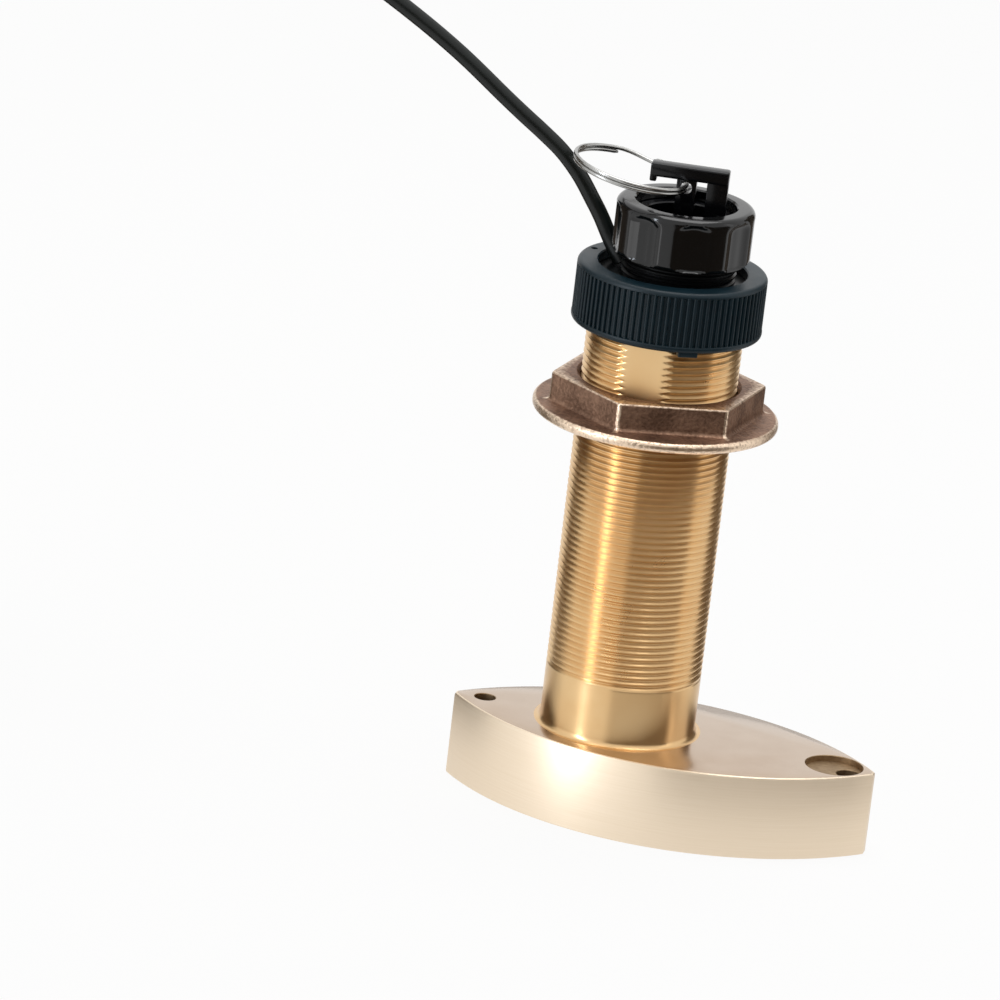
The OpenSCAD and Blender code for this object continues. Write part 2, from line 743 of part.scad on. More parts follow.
// Split ring: two turns of wire on top of each other, through the handle's eye
module pull_ring() {
  color("#B9BCC0") at_insert() rotate(handle_turn) translate([eye_shift, 0, eye_z]) rotate([0, pull_tilt, 0])
    translate([-pull_r, 0, 0]) rotate_extrude() for (side = [-1, 1])
      translate([pull_r, side * (wire_r - wire_merge)]) circle(wire_r, $fn = 24);
}

// Wheel whose paddles turn in the water, on an axle across the blade
module paddlewheel() {
  color("#15171A") at_insert() translate([0, 0, paddle_z]) rotate([90, 0, 0]) difference() {
    union() {
      cylinder(r = hub_r, h = paddle_w, center = true);
      for (i = [0 : paddle_count - 1]) rotate(360 * i / paddle_count) {
        translate([0, -paddle_t / 2, -paddle_w / 2]) cube([paddle_r - paddle_t / 2, paddle_t, paddle_w]);
        translate([paddle_r - paddle_t / 2, 0, 0])
          cylinder(r = paddle_t / 2, h = paddle_w, center = true, $fn = 24);
      }
    }
    cylinder(r = axle_r + axle_clear, h = paddle_w + 2 * over, center = true);
    magnet_rods(over);
  }
}

module magnet_rods(extra) {
  for (i = [0 : paddle_count - 1])
    rotate(360 * i / paddle_count)
      translate([paddle_r - paddle_t / 2, 0, 0])
        cylinder(r = magnet_r, h = paddle_w + 2 * extra, center = true, $fn = 24);
}

module paddle_magnets() {
  color("#8E9296") at_insert() translate([0, 0, paddle_z]) rotate([90, 0, 0]) magnet_rods(0);
}

module paddle_axle() {
  color("#A9ADB1") at_insert() translate([0, 0, paddle_z]) rotate([90, 0, 0])
    cylinder(r = axle_r, h = axle_l, center = true);
}

module cable_rise() {
  color("#1E2422") swept_tube(smooth_path(rise_route, 2), cable_d / 2, [0, 1, 0], 10);
}

module cable_tail() {
  color("#1E2422") swept_tube(smooth_path(tail_route, 2), cable_d / 2, [0, 0, 1], 10);
}

// Round-ended block as long as the hank
module long_loop(r, h) {
  for (end = [-1, 1]) translate([end * coil_run / 2, 0, 0]) cylinder(r = r, h = h);
  translate([-coil_run / 2, -r, 0]) cube([coil_run, 2 * r, h]);
}

module cable_coil() {
  color("#1E2422") translate([coil_x, coil_y, tie_t]) difference() {
    long_loop(coil_out, coil_h);
    translate([0, 0, -over]) long_loop(coil_in, coil_h + 2 * over);
  }
}

// Flat ties wrapped round the hank's turns
module coil_ties() {
  color("#303336") for (place = tie_places)
    translate([coil_x + place[0] - tie_w / 2, coil_y + place[1] * coil_mean_r - coil_half, tie_t])
    difference() {
      translate([0, -tie_t, -tie_t]) cube([tie_w, 2 * coil_half + 2 * tie_t, coil_h + 2 * tie_t]);
      translate([-over, 0, 0]) cube([tie_w + 2 * over, 2 * coil_half, coil_h]);
    }
}

module along_plug() {
  translate([plug_x, plug_y, plug_z]) rotate([0, 90, 0]) children();
}

module plug_boot() {
  color("#1C1F20") along_plug() cylinder(r1 = cable_d / 2 + boot_wall, r2 = plug_r - plug_wall, h = boot_l);
}

module plug_body() {
  color("#232628") along_plug() translate([0, 0, boot_l]) difference() {
    cylinder(r = plug_r, h = plug_l);
    translate([0, 0, plug_l - plug_nut_l + plug_wall]) cylinder(r = plug_r - plug_wall, h = plug_nut_l);
  }
}

module plug_nut() {
  color("#3A3E41") along_plug() translate([0, 0, plug_end]) difference() {
    cylinder(r = plug_nut_r, h = plug_nut_l);
    translate([0, 0, -over]) cylinder(r = plug_r + run_gap, h = plug_nut_l + 2 * over);
  }
}

module plug_pins() {
  color("#D8B25A") along_plug() translate([0, 0, plug_end + plug_wall])
    for (i = [0 : pin_count - 1])
      rotate(360 * i / pin_count) translate([pin_ring_r, 0, 0])
        cylinder(r = pin_r, h = plug_nut_l - 2 * plug_wall, $fn = 16);
}

blade();
stem();
acoustic_window();
piezo_disc();
absorber_disc();
temperature_probe();
inner_lead();
hull_nut();
sleeve();
sleeve_gasket();
sleeve_seals();
speed_sensor();
cable_gland();
retaining_ring();
cap_nut();
insert_body();
insert_seals();
pull_ring();
paddlewheel();
paddle_axle();
paddle_magnets();
cable_rise();
cable_coil();
cable_tail();
coil_ties();
plug_boot();
plug_body();
plug_nut();
plug_pins();
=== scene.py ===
import math
import bmesh
import bpy
from mathutils import Matrix, Vector


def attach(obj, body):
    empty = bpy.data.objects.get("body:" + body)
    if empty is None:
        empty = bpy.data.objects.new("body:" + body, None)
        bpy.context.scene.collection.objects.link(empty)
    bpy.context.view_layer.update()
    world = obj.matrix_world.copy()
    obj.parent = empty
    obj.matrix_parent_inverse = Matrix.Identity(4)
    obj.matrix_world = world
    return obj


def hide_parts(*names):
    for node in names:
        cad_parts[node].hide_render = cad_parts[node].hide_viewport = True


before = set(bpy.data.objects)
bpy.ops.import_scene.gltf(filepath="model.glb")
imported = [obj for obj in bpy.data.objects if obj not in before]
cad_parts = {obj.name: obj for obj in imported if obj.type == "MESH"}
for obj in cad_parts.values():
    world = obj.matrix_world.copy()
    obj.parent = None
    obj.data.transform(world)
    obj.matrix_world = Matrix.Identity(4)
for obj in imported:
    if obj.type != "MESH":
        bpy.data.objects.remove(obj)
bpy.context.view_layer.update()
scene = bpy.context.scene
mm = 0.001  # sizes are in mm, and those of the stage in metres
print("frame loaded:", len(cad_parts), "nodes")

# Small helpers

stemAxis = (-16, 0)
insertAxis = (-14.0304, -0.3473)
overcut = 1  # how far a cutter passes the surface


def hexColor(code):
    # sRGB hex to linear, with alpha 1
    channels = [int(code[i:i + 2], 16) / 255 for i in (1, 3, 5)]
    return [c / 12.92 if c <= 0.04045 else ((c + 0.055) / 1.055) ** 2.4 for c in channels] + [1]


def addNode(tree, kind, inputs=None, **settings):
    # one node: its settings, then its inputs, each a value or a (node, output) link
    node = tree.nodes.new(kind)
    for key, value in settings.items():
        setattr(node, key, value)
    for key, value in (inputs or {}).items():
        if isinstance(value, tuple) and isinstance(value[0], bpy.types.Node):
            tree.links.new(value[0].outputs[value[1]], node.inputs[key])
        else:
            node.inputs[key].default_value = value
    return node


def newMaterial(name):
    material = bpy.data.materials.new(name)
    material.use_nodes = True
    tree = material.node_tree
    tree.nodes.clear()
    return material, tree


def endMaterial(tree, shader):
    addNode(tree, "ShaderNodeOutputMaterial", {"Surface": (shader, 0)})


def smoothThrough(points, steps):
    # the same curve through the route's points as the solid's
    path = []
    last = len(points) - 1
    for i in range(last):
        a, b, c, d = (Vector(points[k]) for k in (max(i - 1, 0), i, i + 1, min(i + 2, last)))
        for s in range(steps):
            t = s / steps
            bend = (2 * a - 5 * b + 4 * c - d) * t * t + (3 * b - a - 3 * c + d) * t ** 3
            path.append(0.5 * (2 * b + (c - a) * t + bend))
    path.append(Vector(points[last]))
    return path


def smoothStep(low, high, value):
    t = min(max((value - low) / (high - low), 0), 1)
    return t * t * (3 - 2 * t)


def shadeByAngle(mesh, degrees):
    # smooth shading, with edges sharper than the angle kept hard
    mesh.polygons.foreach_set("use_smooth", [True] * len(mesh.polygons))
    mesh.set_sharp_from_angle(angle=math.radians(degrees))


def newObject(name, mesh, *materials):
    for material in materials:
        mesh.materials.append(material)
    piece = bpy.data.objects.new(name, mesh)
    scene.collection.objects.link(piece)
    return piece


def meshFrom(name, work, smooth=35):
    bmesh.ops.remove_doubles(work, verts=work.verts, dist=1e-6)
    bmesh.ops.recalc_face_normals(work, faces=work.faces)
    mesh = bpy.data.meshes.new(name)
    work.to_mesh(mesh)
    work.free()
    shadeByAngle(mesh, smooth)
    return mesh


def pieceFrom(name, work, material, smooth=35):
    return newObject(name, meshFrom(name, work, smooth), material)


def ringPoints(count, radius, height, centre=(0, 0)):
    # radius is a number or a function of the angle in degrees
    points = []
    for i in range(count):
        turn = 360 * i / count
        r = radius(turn) if callable(radius) else radius
        t = math.radians(turn)
        points.append((centre[0] + r * math.cos(t), centre[1] + r * math.sin(t), height))
    return points


def loft(rings, closeEnds=False, looped=False):
    # skins a row of rings; looped joins the last ring to the first
    work = bmesh.new()
    rows = [[work.verts.new([c * mm for c in p]) for p in ring] for ring in rings]
    pairs = list(zip(rows, rows[1:])) + ([(rows[-1], rows[0])] if looped else [])
    for low, high in pairs:
        for i in range(len(low)):
            k = (i + 1) % len(low)
            work.faces.new((low[i], low[k], high[k], high[i]))
    if closeEnds:
        work.faces.new(rows[0][::-1])
        work.faces.new(rows[-1])
    return work


def quarter(centre, radius, fromTurn, toTurn, steps=5):
    # points of an arc in a half section: (radius, height) pairs
    turns = [math.radians(fromTurn + (toTurn - fromTurn) * i / steps) for i in range(steps + 1)]
    return [(centre[0] + radius * math.cos(t), centre[1] + radius * math.sin(t)) for t in turns]


def turned(section, count, centre=(0, 0)):
    # rings of a turned piece from its half section
    return [ringPoints(count, r, z, centre) for r, z in section]


def boxWork(size, middle, bevel=0):
    # a box about its middle, its edges rounded by bevel
    work = bmesh.new()
    bmesh.ops.create_cube(work, size=1)
    bmesh.ops.scale(work, verts=work.verts, vec=[s * mm for s in size])
    if bevel:
        edges = list(work.edges)
        bmesh.ops.bevel(work, geom=edges, offset=bevel * mm, segments=3, affect="EDGES", profile=0.5)
    bmesh.ops.translate(work, verts=work.verts, vec=[c * mm for c in middle])
    return work


def turnAndMove(work, turn, axis, place):
    # turns the work about an axis through the origin, then moves it
    turning = Matrix.Rotation(math.radians(turn), 3, axis)
    bmesh.ops.rotate(work, verts=work.verts, cent=(0, 0, 0), matrix=turning)
    bmesh.ops.translate(work, verts=work.verts, vec=[c * mm for c in place])
    return work


def bakePiece(piece):
    # turns the evaluated piece into a plain mesh and takes its modifiers off
    depsgraph = bpy.context.evaluated_depsgraph_get()
    mesh = bpy.data.meshes.new_from_object(piece.evaluated_get(depsgraph))
    piece.modifiers.clear()
    piece.data = mesh


def toolFrom(work):
    return newObject("tool", meshFrom("tool", work))


def combine(piece, operation, *tools):
    # joins each tool to the piece or cuts it out, and removes the tool
    for tool in tools:
        step = piece.modifiers.new("combine", "BOOLEAN")
        step.operation = operation
        step.solver = "EXACT"
        step.object = tool
    bakePiece(piece)
    for tool in tools:
        bpy.data.objects.remove(tool)


def holeTool(centre, radius, low, high, chamfer=0.01, count=64):
    # a turned cutter whose mouth flares out to break the hole's edge
    mouth = radius + chamfer
    section = [(radius, low), (radius, high - chamfer), (mouth, high), (mouth, high + overcut)]
    return toolFrom(loft(turned(section, count, centre), closeEnds=True))


def seat(piece, body, slotName, *nodes):
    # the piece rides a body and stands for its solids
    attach(piece, body)
    if nodes:
        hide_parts(*nodes)


# Camera, from the photo's fitted view

cameraSettings = {
    "eye": (545.979, -2592.223, 944.268),
    "right": (0.958598, 0.262004, 0.11155),
    "up": (-0.183007, 0.266701, 0.946245),
    "back": (0.21817, -0.927483, 0.303607),
    "lens": 308.71, "sensor": 36, "farthest": 50000,
}
cameraData = bpy.data.cameras.new("photoCamera")
cameraData.lens = cameraSettings["lens"]
cameraData.sensor_width = cameraSettings["sensor"]
cameraData.clip_end = cameraSettings["farthest"] * mm
camera = bpy.data.objects.new("photoCamera", cameraData)
scene.collection.objects.link(camera)
axes = Matrix([cameraSettings[side] for side in ("right", "up", "back")]).transposed().to_4x4()
camera.matrix_world = Matrix.Translation(Vector(cameraSettings["eye"]) * mm) @ axes
scene.camera = camera
print("camera set")

# Cable: rise, hank and tail on one line

# the length is in metres
cableSettings = {"diameter": 5.4, "length": 9.2, "roundness": 3, "riseSteps": 6, "tailSteps": 5}
hankSettings = {
    "centre": (-284.5, 3), "meanRadius": 28.25, "run": 16, "columns": 3, "layers": 14, "pitch": 5.5,
    "tieThickness": 1.2, "loopSteps": 15, "runSteps": 2, "laneChange": 80, "tailTurn": 60,
}
plugStart = (-291, 31.25, 87.3)
riseRoute = [
    (-33.9235, 3.1604, 181.6),
    (-38.5, 4.5, 188), (-42.5, 4.5, 195), (-46, 4, 200.5), (-51, 3, 208), (-57, 1.5, 215), (-63.5, 0, 220.5),
    (-70, -1.5, 225.5), (-77, -3, 231), (-92, -6, 243), (-108, -9, 254), (-126, -13, 265),
    (-146, -18, 275), (-168, -23, 281), (-190, -28, 281), (-211, -32, 274), (-229, -34.5, 260),
    (-243, -36, 241), (-250, -37, 218), (-252, -37.7, 192), (-251, -37.7, 164), (-249, -37.7, 136),
    (-246, -37.7, 108), (-244, -37.7, 80), (-244.5, -37.7, 54), (-250, -37.7, 32), (-261, -37.7, 14.5),
    (-276, -37.7, 5.95), (-292.5, -37.7, 3.95),
]
tailRoute = [
    (-321.062, -13.49, 75.45), (-325.196, -2.765, 76.754), (-324.709, 8.679, 79.242),
    (-319.776, 18.747, 82.323), (-311.897, 26.116, 84.93), (-303.373, 29.907, 86.589),
    (-296.455, 31.139, 87.182), plugStart,
]


def hankLine(start, centre, meanRadius, run, columns, layers, pitch, tieThickness, loopSteps, runSteps,
             laneChange, tailTurn):
    # round the end loops and the runs between them, clockwise from above;
    # each turn starts with a change of lane
    cx, cy = centre
    half = run / 2
    outer = meanRadius + (columns - 1) * pitch / 2
    lanes = [(cy - start.y, start.z)]
    for layer in range(layers):
        order = range(columns) if layer % 2 == 0 else reversed(range(columns))
        lanes += [(outer - c * pitch, tieThickness + (layer + 0.5) * pitch) for c in order]
    line = []
    for lane, ((r0, z0), (r1, z1)) in enumerate(zip(lanes, lanes[1:])):
        lastLane = lane == len(lanes) - 2
        for i in range(1, loopSteps + 1):
            turn = 180 * i / loopSteps
            if lastLane and turn >= tailTurn:
                return line
            ease = smoothStep(0, laneChange, turn)
            r, z = r0 + (r1 - r0) * ease, z0 + (z1 - z0) * ease
            t = math.radians(-90 - turn)
            line.append(Vector((cx - half + r * math.cos(t), cy + r * math.sin(t), z)))
        line += [Vector((cx - half + run * i / runSteps, cy + r1, z1)) for i in range(1, runSteps + 1)]
        for i in range(1, loopSteps + 1):
            t = math.radians(90 - 180 * i / loopSteps)
            line.append(Vector((cx + half + r1 * math.cos(t), cy + r1 * math.sin(t), z1)))
        line += [Vector((cx + half - run * i / runSteps, cy - r1, z1)) for i in range(1, runSteps + 1)]
    return line


rise = smoothThrough(riseRoute, cableSettings["riseSteps"])
tail = smoothThrough(tailRoute, cableSettings["tailSteps"])
cableLine = rise + hankLine(rise[-1], **hankSettings) + tail
drawnLength = sum((b - a).length for a, b in zip(cableLine, cableLine[1:])) * mm
cableCurve = bpy.data.curves.new("cable", "CURVE")
cableCurve.dimensions = "3D"
cableCurve.bevel_depth = cableSettings["diameter"] / 2 * mm
cableCurve.bevel_resolution = cableSettings["roundness"]
cableCurve.use_fill_caps = True
cableSpline = cableCurve.splines.new("POLY")
cableSpline.points.add(len(cableLine) - 1)
for point, place in zip(cableSpline.points, cableLine):
    point.co = [*(place * mm), 1]
cableSpline.use_smooth = True
cable = bpy.data.objects.new("cable", cableCurve)
scene.collection.objects.link(cable)
print("cable laid:", round(drawnLength, 2), "m")

# Materials


def linedBronze(name, light, dark, rough, line, detail, grit, bump, stretch, stain=0):
    # fine lines left by the tool, length and width given, which draw the light out across them;
    # patches as large as the stain tint the metal where there is one, and else the lines do
    material, tree = newMaterial(name)
    place = addNode(tree, "ShaderNodeTexCoord")
    around, across = (1 / (size * mm) for size in line)
    along = addNode(tree, "ShaderNodeMapping", {
        "Vector": (place, "Object"), "Scale": (around, around, across)})
    lines = addNode(tree, "ShaderNodeTexNoise", {
        "Vector": (along, "Vector"), "Scale": 1, "Detail": detail, "Roughness": grit})
    tone = lines
    if stain:
        tone = addNode(tree, "ShaderNodeTexNoise", {
            "Vector": (place, "Object"), "Scale": 1 / (stain * mm), "Detail": detail})
    colour = addNode(tree, "ShaderNodeMix", {
        "Factor": (tone, "Fac"), "A": hexColor(dark), "B": hexColor(light)}, data_type="RGBA")
    gloss = addNode(tree, "ShaderNodeMapRange", {
        "Value": (tone, "Fac"), "To Min": rough[0], "To Max": rough[1]})
    relief = addNode(tree, "ShaderNodeBump", {
        "Height": (lines, "Fac"), "Strength": bump[0], "Distance": bump[1] * mm})
    upward = addNode(tree, "ShaderNodeCombineXYZ", {"Z": 1.0})
    endMaterial(tree, addNode(tree, "ShaderNodeBsdfPrincipled", {
        "Base Color": (colour, "Result"), "Metallic": 1, "Roughness": (gloss, "Result"),
        "Normal": (relief, "Normal"), "Anisotropic": stretch, "Tangent": (upward, 0)}))
    return material


def mottledMetal(name, light, dark, rough, patch, detail):
    # bare metal with faint patches of another shade, and of another gloss where rough is a range
    material, tree = newMaterial(name)
    place = addNode(tree, "ShaderNodeTexCoord")
    cloud = addNode(tree, "ShaderNodeTexNoise", {
        "Vector": (place, "Object"), "Scale": 1 / (patch * mm), "Detail": detail})
    colour = addNode(tree, "ShaderNodeMix", {
        "Factor": (cloud, "Fac"), "A": hexColor(dark), "B": hexColor(light)}, data_type="RGBA")
    if isinstance(rough, tuple):
        gloss = addNode(tree, "ShaderNodeMapRange", {
            "Value": (cloud, "Fac"), "To Min": rough[0], "To Max": rough[1]})
        rough = (gloss, "Result")
    endMaterial(tree, addNode(tree, "ShaderNodeBsdfPrincipled", {
        "Base Color": (colour, "Result"), "Metallic": 1, "Roughness": rough}))
    return material


def castBronze(name, light, dark, wornAndSheen, rough, grain, patch, bump):
    # left as it came from the sand: dull brown and grainy, rubbed bright on its edges, where the pale shade
    # is also a painted highlight
    material, tree = newMaterial(name)
    place = addNode(tree, "ShaderNodeTexCoord")
    grit = addNode(tree, "ShaderNodeTexNoise", {
        "Vector": (place, "Object"), "Scale": 1 / (grain * mm), "Detail": 3, "Roughness": 0.6})
    cloud = addNode(tree, "ShaderNodeTexNoise", {
        "Vector": (place, "Object"), "Scale": 1 / (patch * mm), "Detail": 2})
    mottle = addNode(tree, "ShaderNodeMath", {0: (cloud, "Fac"), 1: (grit, "Fac")}, operation="ADD")
    spread = addNode(tree, "ShaderNodeMapRange", {
        "Value": (mottle, 0), "From Min": 0.75, "From Max": 1.25})
    colour = addNode(tree, "ShaderNodeMix", {
        "Factor": (spread, "Result"), "A": hexColor(dark), "B": hexColor(light)}, data_type="RGBA")
    wear = addNode(tree, "ShaderNodeAttribute", attribute_name="wear")
    ragged = addNode(tree, "ShaderNodeMath", {0: (wear, "Fac"), 1: (grit, "Fac")}, operation="MULTIPLY")
    rubbedAndLit = addNode(tree, "ShaderNodeMapRange", {
        "Value": (ragged, 0), "From Min": 0.15, "From Max": 0.5})
    # the pale edge shade stands partly for wear and partly for a painted highlight
    shade = addNode(tree, "ShaderNodeMix", {
        "Factor": (rubbedAndLit, "Result"), "A": (colour, "Result"), "B": hexColor(wornAndSheen)}, data_type="RGBA")
    gloss = addNode(tree, "ShaderNodeMapRange", {
        "Value": (rubbedAndLit, "Result"), "To Min": rough[0], "To Max": rough[1]})
    relief = addNode(tree, "ShaderNodeBump", {
        "Height": (grit, "Fac"), "Strength": bump[0], "Distance": bump[1] * mm})
    endMaterial(tree, addNode(tree, "ShaderNodeBsdfPrincipled", {
        "Base Color": (shade, "Result"), "Metallic": 1, "Roughness": (gloss, "Result"),
        "Normal": (relief, "Normal")}))
    return material


def mouldedPlastic(name, dark, light, rough, grain, depth, mirror=0.4, flow=7):
    # one colour through, a fine skin texture and faint flow marks
    material, tree = newMaterial(name)
    place = addNode(tree, "ShaderNodeTexCoord")
    marks = addNode(tree, "ShaderNodeTexNoise", {
        "Vector": (place, "Object"), "Scale": 1 / (flow * mm), "Detail": 3})
    skin = addNode(tree, "ShaderNodeTexNoise", {
        "Vector": (place, "Object"), "Scale": 1 / (grain * mm), "Detail": 2})
    colour = addNode(tree, "ShaderNodeMix", {
        "Factor": (marks, "Fac"), "A": hexColor(dark), "B": hexColor(light)}, data_type="RGBA")
    gloss = addNode(tree, "ShaderNodeMapRange", {
        "Value": (marks, "Fac"), "To Min": rough * 0.8, "To Max": rough * 1.2})
    relief = addNode(tree, "ShaderNodeBump", {
        "Height": (skin, "Fac"), "Strength": 0.2, "Distance": depth * mm})
    endMaterial(tree, addNode(tree, "ShaderNodeBsdfPrincipled", {
        "Base Color": (colour, "Result"), "Roughness": (gloss, "Result"),
        "Normal": (relief, "Normal"), "Specular IOR Level": mirror}))
    return material


def wovenTie(name, dark, light, rough, thread, bump):
    # hook and loop webbing: a fine plain weave, dull
    material, tree = newMaterial(name)
    place = addNode(tree, "ShaderNodeTexCoord")
    weave = addNode(tree, "ShaderNodeTexChecker", {
        "Vector": (place, "Object"), "Scale": 1 / (thread * mm),
        "Color1": hexColor(dark), "Color2": hexColor(light)})
    relief = addNode(tree, "ShaderNodeBump", {
        "Height": (weave, "Fac"), "Strength": bump[0], "Distance": bump[1] * mm})
    endMaterial(tree, addNode(tree, "ShaderNodeBsdfPrincipled", {
        "Base Color": (weave, "Color"), "Roughness": rough, "Normal": (relief, "Normal")}))
    return material


# turned on a lathe: golden, with fine rings round it
stemMetal = linedBronze("machinedBronze", "#EACB9A", "#DBAF78", rough=(0.23, 0.35), line=(25, 0.35),
                        detail=3, grit=0.5, bump=(0.15, 0.02), stretch=0.75, stain=18)
# linished along the blade: pale, with long fine scratches
bladeMetal = linedBronze("brushedBronze", "#F8E8D2", "#ECD8BC", rough=(0.34, 0.52), line=(30, 0.5),
                         detail=4, grit=0.7, bump=(0.25, 0.03), stretch=0.7)
# faced and polished: nearly a mirror, a little cloudy; pinkish, and darker than the sides as a painted shade
# of the top's dimmer reflection
shadedTopMetal = mottledMetal("polishedBronzeShadedTop", "#D2BFAD", "#C0AA94", rough=(0.11, 0.27), patch=14, detail=4)
# inside the holes: brown and dark, a painted shade of the hollows, dull and marked by the tool
holeShadeMetal = mottledMetal("holeShadeBronze", "#B09878", "#7C644A", rough=0.5, patch=1.5, detail=3)
# cast nut: its pale edge colour is partly wear and partly a painted highlight on the rim and edges
nutMetal = castBronze("castBronze", "#9A7A65", "#684F40", "#F0D8BE", rough=(0.5, 0.28), grain=1.1, patch=9,
                      bump=(0.6, 0.4))
# stainless wire, drawn and tumbled: bright grey with faint dull patches
wireSteel = mottledMetal("drawnSteel", "#C4C3C0", "#8E8E8C", rough=(0.16, 0.32), patch=3, detail=3)
tieCloth = wovenTie("wovenTie", "#2A2C2E", "#3A3D40", rough=0.85, thread=0.8, bump=(0.4, 0.1))
# dark and light shade, roughness, the grain's size and depth, and how much the skin mirrors;
# the ring is blue-black and dull, cap nut and handle near black and glossy
ringPlastic = mouldedPlastic("mouldedNylonCharcoal", "#071B23", "#0C2630", 0.4, 0.35, 0.06, 0.28)
capPlastic = mouldedPlastic("mouldedNylonGloss", "#020304", "#050607", 0.14, 1.2, 0.02, 0.45)
handlePlastic = mouldedPlastic("mouldedNylonHandle", "#050608", "#0B0C10", 0.18, 0.9, 0.03, 0.3)
sleevePlastic = mouldedPlastic("mouldedNylonSleeve", "#07090A", "#0D0F10", 0.3, 0.5, 0.04, 0.25)
# soft or dull blacks and dark greys, from the cable's satin to the seals' matt rubber
cableJacket = mouldedPlastic("extrudedCableJacket", "#0A0F0D", "#121816", 0.36, 0.5, 0.05, 0.35)
plugPlastic = mouldedPlastic("mouldedPlugShell", "#16181A", "#202326", 0.4, 0.5, 0.05)
sealRubber = mouldedPlastic("mouldedSealRubber", "#121314", "#1A1B1C", 0.6, 0.3, 0.05)
windowResin = mouldedPlastic("castWindowResin", "#1E2124", "#292D31", 0.35, 1.5, 0.03)
# inside: red wires, a cream disc, grainy brown cork and a green sensor
leadSheath = mouldedPlastic("extrudedLeadSheath", "#7E241B", "#96301F", 0.5, 0.5, 0.04)
discCeramic = mouldedPlastic("firedCeramic", "#B9AE95", "#CFC5AE", 0.6, 0.4, 0.05)
corkPad = mouldedPlastic("corkAbsorber", "#6E5136", "#9A7750", 0.85, 1.0, 0.3)
sensorBoard = mouldedPlastic("pottedSensor", "#24402A", "#31553A", 0.4, 0.8, 0.04)
print("materials made")

# Node trees for what repeats


def newTree(name, output, **sizes):
    # a geometry tree with a named input for each size, and one for its material
    tree = bpy.data.node_groups.new(name, "GeometryNodeTree")
    for size, kind in sizes.items():
        tree.interface.new_socket(size, in_out="INPUT", socket_type="NodeSocket" + kind)
    tree.interface.new_socket("finish", in_out="INPUT", socket_type="NodeSocketMaterial")
    tree.interface.new_socket(output, in_out="OUTPUT", socket_type="NodeSocketGeometry")
    return tree, addNode(tree, "NodeGroupInput")


